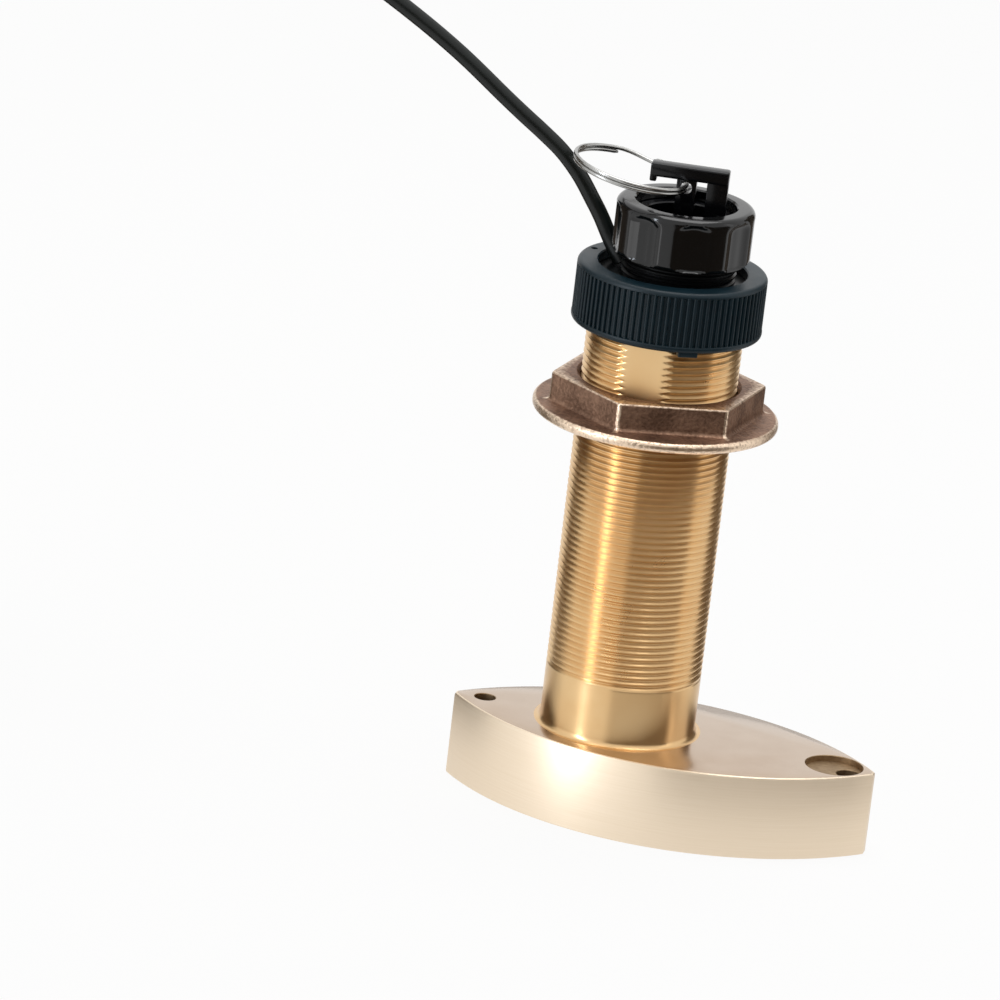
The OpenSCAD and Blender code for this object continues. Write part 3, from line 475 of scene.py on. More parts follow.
def threadTree():
    # a tube whose rows follow the helix, so that crest and root stay crisp
    tree, given = newTree(
        "helicalThread", "thread", radius="Float", depth="Float", pitch="Float", startHeight="Float",
        endHeight="Float", columns="Int", turns="Int", axisX="Float", axisY="Float", flatLevel="Float",
        flatFrom="Float")
    rowsPerTurn = 8  # two on the crest, two at the root and two on each flank
    halfRow = 0.5 / rowsPerTurn
    noFlat = -10.0  # a level that nothing reaches
    maths = "ShaderNodeMath"
    start, end, pitch = (given, "startHeight"), (given, "endHeight"), (given, "pitch")
    rows = addNode(tree, maths, {0: (given, "turns"), 1: rowsPerTurn, 2: 1.0}, operation="MULTIPLY_ADD")
    grid = addNode(tree, "GeometryNodeMeshGrid", {
        "Size X": 1.0, "Size Y": 1.0, "Vertices X": (given, "columns"), "Vertices Y": (rows, 0)})
    place = addNode(tree, "ShaderNodeSeparateXYZ", {0: (addNode(tree, "GeometryNodeInputPosition"), 0)})
    turn = addNode(tree, maths, {0: (place, "X"), 1: 0.5}, operation="ADD")
    row = addNode(tree, maths, {0: (place, "Y"), 1: 0.5}, operation="ADD")
    rowTurn = addNode(tree, maths, {0: (row, 0), 1: (given, "turns")}, operation="MULTIPLY")
    shifted = addNode(tree, maths, {0: (rowTurn, 0), 1: halfRow}, operation="ADD")
    wave = addNode(tree, maths, {0: (shifted, 0), 1: 0.5}, operation="PINGPONG")
    flank = addNode(tree, "ShaderNodeMapRange", {
        "Value": (wave, 0), "From Min": halfRow, "From Max": 0.5 - halfRow})
    lifted = addNode(tree, maths, {0: (rowTurn, 0), 1: (turn, 0)}, operation="ADD")
    climb = addNode(tree, maths, {0: (lifted, 0), 1: 1.0}, operation="SUBTRACT")
    rawHeight = addNode(tree, maths, {0: (climb, 0), 1: pitch, 2: start}, operation="MULTIPLY_ADD")
    height = addNode(tree, "ShaderNodeClamp", {"Value": (rawHeight, 0), "Min": start, "Max": end})
    # the groove runs out along the first turn and the last
    firstTurn = addNode(tree, maths, {0: start, 1: pitch}, operation="ADD")
    lastTurn = addNode(tree, maths, {0: end, 1: pitch}, operation="SUBTRACT")
    runOut = addNode(tree, "ShaderNodeMapRange", {
        "Value": (rawHeight, 0), "From Min": start, "From Max": (firstTurn, 0)},
        interpolation_type="SMOOTHSTEP")
    topOut = addNode(tree, "ShaderNodeMapRange", {
        "Value": (rawHeight, 0), "From Min": end, "From Max": (lastTurn, 0)},
        interpolation_type="SMOOTHSTEP")
    fade = addNode(tree, maths, {0: (runOut, 0), 1: (topOut, 0)}, operation="MULTIPLY")
    share = addNode(tree, maths, {0: (flank, 0), 1: (fade, 0)}, operation="MULTIPLY")
    sink = addNode(tree, maths, {0: (share, 0), 1: (given, "depth")}, operation="MULTIPLY")
    radius = addNode(tree, maths, {0: (given, "radius"), 1: (sink, 0)}, operation="SUBTRACT")
    angle = addNode(tree, maths, {0: (turn, 0), 1: math.tau, 2: math.pi / 2}, operation="MULTIPLY_ADD")
    cosine = addNode(tree, maths, {0: (angle, 0)}, operation="COSINE")
    sine = addNode(tree, maths, {0: (angle, 0)}, operation="SINE")
    x = addNode(tree, maths, {0: (radius, 0), 1: (cosine, 0), 2: (given, "axisX")}, operation="MULTIPLY_ADD")
    y = addNode(tree, maths, {0: (radius, 0), 1: (sine, 0), 2: (given, "axisY")}, operation="MULTIPLY_ADD")
    inFlat = addNode(tree, maths, {0: (height, 0), 1: (given, "flatFrom")}, operation="GREATER_THAN")
    level = addNode(tree, "ShaderNodeMix", {
        "Factor": (inFlat, 0), "A": noFlat, "B": (given, "flatLevel")}, data_type="FLOAT")
    milled = addNode(tree, maths, {0: (y, 0), 1: (level, 0)}, operation="MAXIMUM")
    spot = addNode(tree, "ShaderNodeCombineXYZ", {"X": (x, 0), "Y": (milled, 0), "Z": (height, 0)})
    shaped = addNode(tree, "GeometryNodeSetPosition", {"Geometry": (grid, 0), "Position": (spot, 0)})
    joined = addNode(tree, "GeometryNodeMergeByDistance", {"Geometry": (shaped, 0), "Distance": 0.002 * mm})
    real = addNode(tree, "GeometryNodeRealizeInstances", {"Geometry": (joined, 0)})
    dressed = addNode(tree, "GeometryNodeSetMaterial", {
        "Geometry": (real, 0), "Material": (given, "finish")})
    addNode(tree, "NodeGroupOutput", {0: (dressed, 0)})
    return tree


def ribTree():
    # round bars standing in a ring
    tree, given = newTree(
        "gripRibs", "ribs", count="Int", ringRadius="Float", barRadius="Float", low="Vector",
        high="Vector", middle="Vector", lean="Rotation")
    ring = addNode(tree, "GeometryNodeMeshCircle", {
        "Vertices": (given, "count"), "Radius": (given, "ringRadius")})
    line = addNode(tree, "GeometryNodeCurvePrimitiveLine", {"Start": (given, "low"), "End": (given, "high")})
    section = addNode(tree, "GeometryNodeCurvePrimitiveCircle", {
        "Resolution": 10, "Radius": (given, "barRadius")})
    bar = addNode(tree, "GeometryNodeCurveToMesh", {
        "Curve": (line, 0), "Profile Curve": (section, 0), "Fill Caps": True})
    bars = addNode(tree, "GeometryNodeInstanceOnPoints", {"Points": (ring, 0), "Instance": (bar, 0)})
    real = addNode(tree, "GeometryNodeRealizeInstances", {"Geometry": (bars, 0)})
    placed = addNode(tree, "GeometryNodeTransform", {
        "Geometry": (real, 0), "Translation": (given, "middle"), "Rotation": (given, "lean")})
    dressed = addNode(tree, "GeometryNodeSetMaterial", {
        "Geometry": (placed, 0), "Material": (given, "finish")})
    addNode(tree, "NodeGroupOutput", {0: (dressed, 0)})
    return tree


def grown(name, tree, **values):
    # runs a tree on an empty mesh and keeps the result as a plain mesh
    piece = newObject(name, bpy.data.meshes.new(name))
    growth = piece.modifiers.new("growth", "NODES")
    growth.node_group = tree
    for item in tree.interface.items_tree:
        if item.item_type == "SOCKET" and item.in_out == "INPUT" and item.name in values:
            growth[item.identifier] = values[item.name]
    bakePiece(piece)
    return piece


helicalThread = threadTree()
gripRibs = ribTree()

# Housing: blade, smooth band and threaded stem

bladeSettings = {"length": 142, "width": 69.5, "tip": 2.5, "steps": 64}
# a hole is its place along the blade, its radius and, unless it goes through, its depth
housingSettings = {
    "height": 28, "edge": 0.7, "stemRadius": 25.4, "bore": 22, "boreFrom": 6, "bandTop": 47,
    "stemTop": 177, "fillet": 2, "footDepth": 3, "footFlare": 0.01, "columns": 180,
    "pitch": 2.117, "depth": 0.85, "flatLevel": -23.8, "flatFrom": 135,
    "pinHole": (-61, 3.5), "seatHole": (57.5, 9.5, 2), "boltHole": (62.5, 4), "chamfer": 0.2,
    "cellHole": (27, 16.2, 17), "probeHole": (-49, 3, 14.5), "socket": (15.5, 10),
}


def bladeOutline(inset, length, width, tip, steps):
    # two arcs with blunt tips, moved inwards by inset
    half = length / 2
    bulge = width / 2 - tip / 2
    arc = (half ** 2 + bulge ** 2) / (2 * bulge)
    sweep = math.asin(half / arc)
    points = []
    for side in (1, -1):
        for i in range(steps + 1):
            t = sweep * (1 - 2 * i / steps)
            x = side * (arc - inset) * math.sin(t)
            y = side * ((arc - inset) * math.cos(t) - (arc - width / 2))
            points.append((min(max(x, -half + inset), half - inset), y))
    return points


def makeHousing(height, edge, stemRadius, bore, boreFrom, bandTop, stemTop, fillet, footDepth, footFlare,
                columns, pitch, depth, flatLevel, flatFrom, pinHole, seatHole, boltHole, chamfer,
                cellHole, probeHole, socket):
    eased = edge * 0.3  # where the round of the blade's edge is halfway
    levels = [(edge, 0), (eased, eased), (0, edge)]
    levels += [(inset, height - z) for inset, z in reversed(levels)]
    rings = [[(x, y, z) for x, y in bladeOutline(inset, **bladeSettings)] for inset, z in levels]
    blade = newObject("housing", meshFrom("blade", loft(rings, closeEnds=True), 30))
    footRadius = stemRadius + fillet
    section = [(footRadius + footFlare, height - footDepth)]
    section += quarter((footRadius, height + fillet), fillet, 270, 180, steps=6) + [(stemRadius, bandTop)]
    combine(blade, "UNION", toolFrom(loft(turned(section, columns, stemAxis), closeEnds=True)))
    seatFloor = height - seatHole[2]
    combine(
        blade, "DIFFERENCE",
        holeTool((pinHole[0], 0), pinHole[1], -overcut, height, chamfer),
        holeTool((seatHole[0], 0), seatHole[1], seatFloor, height, chamfer, count=96),
        holeTool((boltHole[0], 0), boltHole[1], -overcut, seatFloor, chamfer),
        holeTool((cellHole[0], 0), cellHole[1], -overcut, cellHole[2], count=96),
        holeTool((probeHole[0], 0), probeHole[1], -overcut, probeHole[2]),
        holeTool(insertAxis, socket[0], -overcut, socket[1], count=96),
        holeTool(stemAxis, bore, boreFrom, bandTop + 2 * overcut, count=columns),
    )
    thread = grown(
        "thread", helicalThread, radius=stemRadius * mm, depth=depth * mm, pitch=pitch * mm,
        startHeight=bandTop * mm, endHeight=stemTop * mm, columns=columns + 1,
        turns=math.ceil((stemTop - bandTop) / pitch) + 2, axisX=stemAxis[0] * mm, axisY=stemAxis[1] * mm,
        flatLevel=flatLevel * mm, flatFrom=flatFrom * mm, finish=stemMetal)
    # one skin: the cut casting without its end ring, the thread, the stem's end and its bore
    work = bmesh.new()
    work.from_mesh(blade.data)
    endRing = [f for f in work.faces if all(abs(v.co.z - bandTop * mm) < 1e-6 for v in f.verts)]
    bmesh.ops.delete(work, geom=endRing, context="FACES")
    work.from_mesh(thread.data)
    inner = turned([(stemRadius, stemTop), (bore, stemTop), (bore, bandTop)], columns, stemAxis)
    inner[0] = [(x, max(y, flatLevel), z) for x, y, z in inner[0]]  # the flat goes through the end
    tube = loft(inner)
    tubeMesh = bpy.data.meshes.new("tube")
    tube.to_mesh(tubeMesh)
    tube.free()
    work.from_mesh(tubeMesh)
    bpy.data.objects.remove(thread)
    bmesh.ops.remove_doubles(work, verts=work.verts, dist=2e-6)
    bmesh.ops.recalc_face_normals(work, faces=work.faces)
    finishes = (stemMetal, bladeMetal, shadedTopMetal, holeShadeMetal)
    holes = (pinHole, seatHole[:2], boltHole)
    slack, reach = 0.01, 0.1  # tolerances on a face's height and on its distance from an axis
    for face in work.faces:
        middle = face.calc_center_median() / mm
        heights = [v.co.z / mm for v in face.verts]
        inBlade = max(abs(z - height / 2) for z in heights) < height / 2 + slack
        inHole = any(math.hypot(middle.x - x, middle.y) < r + reach for x, r in holes)
        inBore = math.hypot(middle.x - stemAxis[0], middle.y - stemAxis[1]) < bore + reach
        # walls and floors inside the holes take the painted hole shade
        if inBlade and inHole and slack < middle.z < height - slack:
            finish = holeShadeMetal
        elif inBore or not inBlade:
            finish = stemMetal
        else:
            # the top face takes a darker copy of the bronze, a painted shade
            finish = shadedTopMetal if min(heights) > height - slack else bladeMetal
        face.material_index = finishes.index(finish)
    openEdges = sum(1 for e in work.edges if len(e.link_faces) != 2)
    print("housing skin:", len(work.faces), "faces,", openEdges, "open edges")
    mesh = bpy.data.meshes.new("housing")
    work.to_mesh(mesh)
    work.free()
    shadeByAngle(mesh, 28)
    blade.data = mesh
    for material in finishes:
        mesh.materials.append(material)
    return blade


housing = makeHousing(**housingSettings)
seat(housing, "transducer", "bronze", "blade", "stem")

# Hull nut: flange, cove and hexagon

# the top edge is rows of inset and drop; a band of wear and sheen is where it starts and where it is full,
# and then its strength if it has one, with the corners' in degrees; the bright edges are partly wear and
# partly painted highlight
nutSettings = {
    "bottom": 133.5, "radius": 40, "rim": 3.5, "rimRound": 1.5, "acrossFlats": 61.5, "hexHeight": 9.5,
    "hexTurn": 23, "cornerRound": 0.3, "cornerBlend": 0.25, "cove": 1.3, "coveLift": 0.3, "coveSteps": 4,
    "topEdge": ((0, 0.8), (0.12, 0.35), (0.4, 0.08), (0.9, 0)), "bore": 25.7, "boreChamfer": 1.2,
    "rimWearAndSheen": (1.6, 0.3), "cornerWearAndSheen": (2.2, 0.4, 0.8), "edgeWearAndSheen": (2.2, 0.6, 0.75),
    "edgeDrop": (0.9, 0.3), "count": 720,
}


def makeNut(bottom, radius, rim, rimRound, acrossFlats, hexHeight, hexTurn, cornerRound, cornerBlend, cove,
            coveLift, coveSteps, topEdge, bore, boreChamfer, rimWearAndSheen, cornerWearAndSheen, edgeWearAndSheen, edgeDrop, count):
    apothem = acrossFlats / 2
    shoulder = bottom + rim
    top = shoulder + hexHeight
    rounded = radius - rimRound
    aboveFlange, onHexagon = shoulder + 0.2, apothem - 0.5  # where the hexagon's wear and painted highlight begin

    def hexRadius(turn, inset=0.0):
        off = (turn - hexTurn) % 60 - 30
        flat = (apothem - inset) / math.cos(math.radians(off))
        corner = (apothem - inset) / math.cos(math.radians(30)) - cornerRound
        return -math.log(math.exp(-flat / cornerBlend) + math.exp(-corner / cornerBlend)) * cornerBlend

    def hexRing(inset, height):
        return ringPoints(count, lambda t: hexRadius(t, inset), height, stemAxis)

    def wear(p):
        # rubbed wear and painted highlight on the rim, corners and the hexagon's top edge
        r = math.hypot(p.x - stemAxis[0], p.y - stemAxis[1])
        turn = math.degrees(math.atan2(p.y - stemAxis[1], p.x - stemAxis[0]))
        off = abs((turn - hexTurn + 30) % 60 - 30)
        onRim = smoothStep(radius - rimWearAndSheen[0], radius - rimWearAndSheen[1], r)
        if p.z <= aboveFlange:
            return onRim
        onCorner = smoothStep(*cornerWearAndSheen[:2], off) if r > onHexagon else 0
        onEdge = smoothStep(top - edgeDrop[0], top - edgeDrop[1], p.z)
        onEdge *= smoothStep(*edgeWearAndSheen[:2], abs(r - hexRadius(turn)))
        return max(onRim, onCorner * cornerWearAndSheen[2], onEdge * edgeWearAndSheen[2])

    rings = turned([(bore, bottom), (rounded, bottom)], count, stemAxis)
    rings += turned(quarter((rounded, bottom + rimRound), rimRound, 270, 360), count, stemAxis)
    rings += turned(quarter((rounded, shoulder - rimRound), rimRound, 0, 90), count, stemAxis)
    for i in range(coveSteps + 1):
        t = math.radians(90 * i / coveSteps)
        rings.append(hexRing(-cove * (1 - math.sin(t)), shoulder + coveLift + cove * (1 - math.cos(t))))
    rings += [hexRing(inset, top - drop) for inset, drop in topEdge]
    rings += turned([(bore + boreChamfer, top), (bore, top - boreChamfer)], count, stemAxis)
    nut = pieceFrom("hullNut", loft(rings, looped=True), nutMetal, 32)
    # one mask for the bright edges: real wear and a painted highlight together
    layer = nut.data.attributes.new("wear", "FLOAT", "POINT")
    layer.data.foreach_set("value", [wear(v.co / mm) for v in nut.data.vertices])
    return nut


hullNut = makeNut(**nutSettings)
seat(hullNut, "nut", "nut_bronze", "hull_nut")
print("housing and nut made")

# Retaining ring with its grip ribs, its index tab and a dimple

ringSettings = {
    "bottom": 164.5, "height": 20, "radius": 31, "hole": 24.2, "holeEdge": 0.4, "bore": 25.7, "wall": 3.2,
    "lip": 1.8, "lipRound": 1.3, "lipEdge": (0.2, 0.25), "lipFoot": 0.4, "topRound": 1.6, "topFoot": 0.5,
    "groove": 0.8, "inset": 0.15, "ribs": 88, "ribRadius": 0.66, "ribEnds": (0.3, 0.35), "count": 176,
}
tabSettings = {"turn": -62, "width": 6.5, "drop": 1.5, "thick": 3, "inset": 1, "overlap": 1.2, "bevel": 0.4}
dimpleSettings = {"turn": 172, "reach": 27.6, "radius": 1.0, "depth": 1.2, "chamfer": 0.2}


def makeRing(bottom, height, radius, hole, holeEdge, bore, wall, lip, lipRound, lipEdge, lipFoot, topRound,
             topFoot, groove, inset, ribs, ribRadius, ribEnds, count):
    top, lipTop = bottom + height, bottom + lip
    crown, rounded = radius - inset, top - topRound
    core = radius - groove - inset
    section = [(bore, bottom), (radius - lipRound, bottom)]
    section += quarter((radius - lipRound, bottom + lipRound), lipRound, 270, 360)
    section += [(radius, lipTop), (radius - lipEdge[0], lipTop + lipEdge[1]), (core, lipTop + lipFoot),
                (core, rounded - topFoot), (crown, rounded)]
    section += quarter((crown - topRound, rounded), topRound, 0, 90)[1:]
    section += [(hole + holeEdge, top), (hole, top - holeEdge), (hole, top - wall), (bore, top - wall)]
    body = pieceFrom("retainingRing", loft(turned(section, count, stemAxis), looped=True), ringPlastic, 40)
    bars = grown(
        "ringRibs", gripRibs, count=ribs, ringRadius=(core + inset) * mm, barRadius=ribRadius * mm,
        low=(0, 0, (lipTop - ribEnds[0]) * mm), high=(0, 0, (rounded + ribEnds[1]) * mm),
        middle=(stemAxis[0] * mm, stemAxis[1] * mm, 0), finish=ringPlastic)
    shadeByAngle(bars.data, 60)
    seat(bars, "ring", "ring_plastic")
    return body


def makeTab(turn, width, drop, thick, inset, overlap, bevel):
    tall = drop + overlap
    reach = ringSettings["radius"] - inset - thick / 2
    work = boxWork((thick, width, tall), (reach, 0, ringSettings["bottom"] - drop + tall / 2), bevel)
    tab = pieceFrom("ringTab", turnAndMove(work, turn, "Z", (*stemAxis, 0)), ringPlastic, 40)
    seat(tab, "ring", "ring_plastic")


def cutDimple(body, turn, reach, radius, depth, chamfer):
    top = ringSettings["bottom"] + ringSettings["height"]
    t = math.radians(turn)
    spot = (stemAxis[0] + reach * math.cos(t), stemAxis[1] + reach * math.sin(t))
    combine(body, "DIFFERENCE", holeTool(spot, radius, top - depth, top, chamfer, count=24))
    shadeByAngle(body.data, 40)


retainingRing = makeRing(**ringSettings)
makeTab(**tabSettings)
cutDimple(retainingRing, **dimpleSettings)
seat(retainingRing, "ring", "ring_plastic", "retaining_ring")

# Sleeve, with the ridged neck that takes the cap nut

# the flange is its radius, bottom and top; a ridge is rows of a share of the pitch and if it is crest
sleeveSettings = {
    "bottom": 6, "radius": 21.7, "flange": (24.8, 178, 181), "edge": 0.3, "neck": 18.6, "neckTop": 200,
    "socket": 15.5, "pitch": 2.0, "depth": 0.7, "ridgeFrom": 0.5, "plainEnd": 1,
    "ridge": ((0.1, False), (0.35, True), (0.6, True), (0.85, False)), "count": 144,
}


def makeSleeve(bottom, radius, flange, edge, neck, neckTop, socket, pitch, depth, ridgeFrom, plainEnd, ridge,
               count):
    rim, low, high = flange
    section = [(radius, bottom), (radius, low), (rim - edge, low), (rim, low + edge), (rim, high - edge),
               (rim - edge, high)]
    rings = turned(section, count, stemAxis)
    root = neck - depth
    section = [(root, high)]
    for i in range(int((neckTop - high - plainEnd) / pitch)):
        z = high + ridgeFrom + i * pitch
        section += [(neck if crest else root, z + share * pitch) for share, crest in ridge]
    section += [(root, neckTop), (socket, neckTop), (socket, bottom)]
    rings += turned(section, count, insertAxis)
    return pieceFrom("sleeveLiner", loft(rings, looped=True), sleevePlastic)


sleeve = makeSleeve(**sleeveSettings)
seat(sleeve, "transducer", "black_nylon", "sleeve")

# Cap nut with arched flutes

capSettings = {
    "bottom": 188.3, "height": 18.2, "radius": 22.5, "bore": 18.9, "hole": 16.4, "holeEdge": 0.5,
    "wall": 3.5, "rounding": 2.4, "flutes": 8, "fluteDepth": 1.5, "fluteWide": 17, "fluteLow": 0.4,
    "fluteTop": 17.2, "arch": 3.6, "ramp": 1.2, "fluteTurn": 22.5, "rows": 26, "count": 360,
}


def makeCap(bottom, height, radius, bore, hole, holeEdge, wall, rounding, flutes, fluteDepth, fluteWide,
            fluteLow, fluteTop, arch, ramp, fluteTurn, rows, count):
    step = 360 / flutes

    def surface(r, z):
        # flutes sink into the wall, each ending in an arch above and a short ramp below
        def at(turn):
            across = abs((turn - fluteTurn + step / 2) % step - step / 2) / fluteWide
            above = max(z - (fluteTop - arch), 0) / arch
            below = max(fluteLow + ramp - z, 0) / ramp
            cut = 1 - across ** 2 - above ** 2 - below ** 2
            return min(r, radius - fluteDepth * smoothStep(0, 1, cut))
        return at

    section = quarter((radius - rounding, rounding), rounding, 270, 360, steps=8)
    section += [(radius, rounding + (height - 2 * rounding) * i / rows) for i in range(1, rows)]
    section += quarter((radius - rounding, height - rounding), rounding, 0, 90, steps=8)
    rings = [ringPoints(count, surface(r, z), bottom + z, insertAxis) for r, z in section]
    inside = [(hole + holeEdge, height), (hole, height - holeEdge), (hole, height - wall),
              (bore, height - wall), (bore, 0)]
    rings += [ringPoints(count, r, bottom + z, insertAxis) for r, z in inside]
    return pieceFrom("capNut", loft(rings, looped=True), capPlastic, 40)


capNut = makeCap(**capSettings)
seat(capNut, "cap", "cap_plastic", "cap_nut")
print("ring, sleeve and cap made")

# Insert: body with its well, seal grooves and paddle slot, and the T-handle

insertSettings = {
    "bottom": 0.5, "radius": 15.2, "edge": 0.6, "flange": (18, 200.3, 202.7), "flangeFoot": 0.3,
    "flangeEdge": 0.4, "well": (12.8, 186.3), "seals": (32, 38, 170), "grooveDepth": 2.3,
    "grooveHalf": 1.1, "slot": (23, 11, 23.5), "axle": (12, 1.2), "count": 96,
}
# in the handle's own turned frame; the bar is length, thickness, bottom and top,
# and the eye is place, height and radius
handleSettings = {
    "turn": 8, "bar": (25.4, 5.4, 214, 218.5), "barBevel": 0.7, "hook": (2.2, 1.6), "hookBevel": 0.5,
    "web": 4, "eye": (-0.7, 211.5, 1.9), "eyeReach": 6, "legWall": 1.3, "legGap": 3.4, "legBevel": 0.35,
    "sunk": 0.5, "overlap": 0.8,
}


def crossTool(x, z, radius, reach, turn, count=40):
    # a cutter across the handle or across the insert's foot
    work = loft(turned([(radius, -reach), (radius, reach)], count), closeEnds=True)
    work = turnAndMove(work, 90, "X", (x, 0, z))
    return toolFrom(turnAndMove(work, turn, "Z", (*insertAxis, 0)))


def makeInsert(bottom, radius, edge, flange, flangeFoot, flangeEdge, well, seals, grooveDepth, grooveHalf,
               slot, axle, count):
    rim, low, high = flange
    wellRadius, wellFloor = well
    groove = radius - grooveDepth
    section = [(radius - edge, bottom), (radius, bottom + edge)]
    for z in seals:
        start, end = z - grooveHalf, z + grooveHalf
        section += [(radius, start), (groove, start), (groove, end), (radius, end)]
    section += [(radius, low), (rim - flangeFoot, low), (rim, low + flangeFoot), (rim, high - flangeEdge),
                (rim - flangeEdge, high), (wellRadius + flangeEdge, high), (wellRadius, high - flangeEdge),
                (wellRadius, wellFloor + edge), (wellRadius - edge, wellFloor)]
    body = pieceFrom("insertBody", loft(turned(section, count, insertAxis), closeEnds=True), handlePlastic)
    slotLength, slotWidth, slotTop = slot
    slotSize = (slotLength, slotWidth, slotTop + overcut)
    slotTool = toolFrom(boxWork(slotSize, (*insertAxis, (slotTop - overcut) / 2)))
    combine(body, "DIFFERENCE", slotTool, crossTool(0, *axle, reach=radius, turn=0))
    shadeByAngle(body.data, 35)
    return body


def makeHandle(turn, bar, barBevel, hook, hookBevel, web, eye, eyeReach, legWall, legGap, legBevel, sunk,
               overlap):
    barLength, barThick, barLow, barHigh = bar
    hookWidth, hookDrop = hook
    eyeX, eyeZ, eyeRadius = eye
    half, thick, side = barLength / 2, barThick / 2, web / 2
    legLow, legHigh = insertSettings["well"][1] - sunk, barLow + overlap
    legLeft, legRight = eyeX - eyeRadius - legWall, eyeX + eyeRadius + legWall
    boxes = {
        "handleBar": ((-half, -thick, barLow), (half, thick, barHigh), barBevel),
        "handleHook": ((-half, -thick, barLow - hookDrop), (-half + hookWidth, thick, legHigh), hookBevel),
        "handleLeg": ((legLeft, -side, legLow), (legRight, side, legHigh), legBevel),
        "handleFarLeg": ((legRight + legGap, -side, legLow), (half, side, legHigh), legBevel),
    }
    for name, (low, high, bevel) in boxes.items():
        size = [h - l for l, h in zip(low, high)]
        work = boxWork(size, [(l + h) / 2 for l, h in zip(low, high)], bevel)
        part = pieceFrom(name, turnAndMove(work, turn, "Z", (*insertAxis, 0)), handlePlastic, 40)
        if name == "handleLeg":
            combine(part, "DIFFERENCE", crossTool(eyeX, eyeZ, eyeRadius, eyeReach, turn))
            shadeByAngle(part.data, 40)
        seat(part, "insert", "insert_plastic")


insertBody = makeInsert(**insertSettings)
makeHandle(**handleSettings)
seat(insertBody, "insert", "insert_plastic", "insert_body")

# Pull ring: two turns of wire

pullSettings = {
    "radius": 18.6, "wire": 0.7, "tilt": 9.5, "eye": (-14.7236, -0.4447, 211.5), "turn": 8, "rise": 1.32,
    "jog": 40, "jogAt": 110, "endTaper": 0.55, "steps": 168, "sides": 12,
}


def makePullRing(radius, wire, tilt, eye, turn, rise, jog, jogAt, endTaper, steps, sides):
    # the wire goes round twice and steps up by its own thickness along a short jog
    lean = Matrix.Rotation(math.radians(turn), 4, "Z") @ Matrix.Rotation(math.radians(tilt), 4, "Y")
    path = []
    for i in range(steps + 1):
        passed = (720 - jog) * i / steps
        t = math.radians(jogAt + passed)
        z = (smoothStep(360 - jog, 360, passed) - 0.5) * rise
        path.append(lean @ Vector((radius * (math.cos(t) - 1), radius * math.sin(t), z)) + Vector(eye))
    rings = []
    for i, spot in enumerate(path):
        along = (path[min(i + 1, steps)] - path[max(i - 1, 0)]).normalized()
        side = along.cross(lean.to_3x3() @ Vector((0, 0, 1))).normalized()
        up = side.cross(along)
        r = wire * (endTaper if i in (0, steps) else 1)
        turns = [math.tau * k / sides for k in range(sides)]
        rings.append([spot + r * (math.cos(t) * side + math.sin(t) * up) for t in turns])
    return pieceFrom("pullRing", loft(rings, closeEnds=True), wireSteel, 50)


pullRing = makePullRing(**pullSettings)
seat(pullRing, "pull", "spring_steel", "pull_ring")
print("insert and pull ring made")

# Plug and boot on the cable's end

# a ridge of the boot is rows of a step out and a step along
plugSettings = {
    "boot": 16, "body": 20, "radius": 7.5, "nutRadius": 8.8, "nutLength": 12, "wall": 2, "bootCover": 0.6,
    "bootRidges": 5, "ridgeStart": 0.25, "ridge": ((0, 0), (-0.6, 0.5), (-0.6, 1.3), (0.3, 1.8)),
    "edge": 0.6, "nutEdge": 0.5, "nutGap": 0.3, "gripCount": 28, "ribRadius": 0.42, "ribProud": 0.45,
    "ribEnd": 1, "pole": 0.01,
}


def makePlug(boot, body, radius, nutRadius, nutLength, wall, bootCover, bootRidges, ridgeStart, ridge,
             edge, nutEdge, nutGap, gripCount, ribRadius, ribProud, ribEnd, pole):
    # each piece is turned about Z and then laid along the plug's own line
    low, high = cableSettings["diameter"] / 2 + bootCover, radius - wall
    bootSection = [(pole, 0), (low, 0)]
    for i in range(bootRidges):
        z = boot * (i + ridgeStart) / bootRidges
        r = low + (high - low) * z / boot
        bootSection += [(r + out, z + along) for out, along in ridge]
    bootSection += [(high, boot), (pole, boot)]
    end = boot + body
    nutLow = end - nutLength
    floor = nutLow + wall
    bodySection = [(pole, boot), (radius - edge, boot), (radius, boot + edge), (radius, end),
                   (radius - wall, end), (radius - wall, floor), (pole, floor)]
    outer, inner = nutRadius - ribProud, radius + nutGap
    nutSection = [(inner, nutLow), (outer - nutEdge, nutLow), (outer, nutLow + nutEdge),
                  (outer, end - nutEdge), (outer - nutEdge, end), (inner, end)]
    shapes = (
        ("plugBoot", bootSection, 32, False, cableJacket),
        ("plugBody", bodySection, 48, False, plugPlastic),
        ("plugNut", nutSection, 56, True, plugPlastic),
    )
    pieces = []
    for name, section, count, looped, material in shapes:
        work = loft(turned(section, count), closeEnds=not looped, looped=looped)
        pieces.append(pieceFrom(name, turnAndMove(work, 90, "Y", plugStart), material))
    ribs = grown(
        "plugNutRibs", gripRibs, count=gripCount, ringRadius=outer * mm, barRadius=ribRadius * mm,
        low=(0, 0, (nutLow + ribEnd) * mm), high=(0, 0, (end - ribEnd) * mm),
        middle=[c * mm for c in plugStart], lean=(0, math.radians(90), 0), finish=plugPlastic)
    shadeByAngle(ribs.data, 60)
    return pieces + [ribs]


plugBoot, plugBody, plugNut, plugNutRibs = makePlug(**plugSettings)
seat(plugBoot, "transducer", "plug_rubber", "plug_boot")
seat(plugBody, "transducer", "plug_plastic", "plug_body")
seat(plugNut, "coupling", "plug_plastic", "plug_nut")
seat(plugNutRibs, "coupling", "plug_plastic")

# Ties round the hank

# each at a shift along the hank and on one side of it
tiePlaces = ((0, -1), (2, 1))
tieSettings = {"width": 10, "rounding": 2.2, "edge": 0.3}


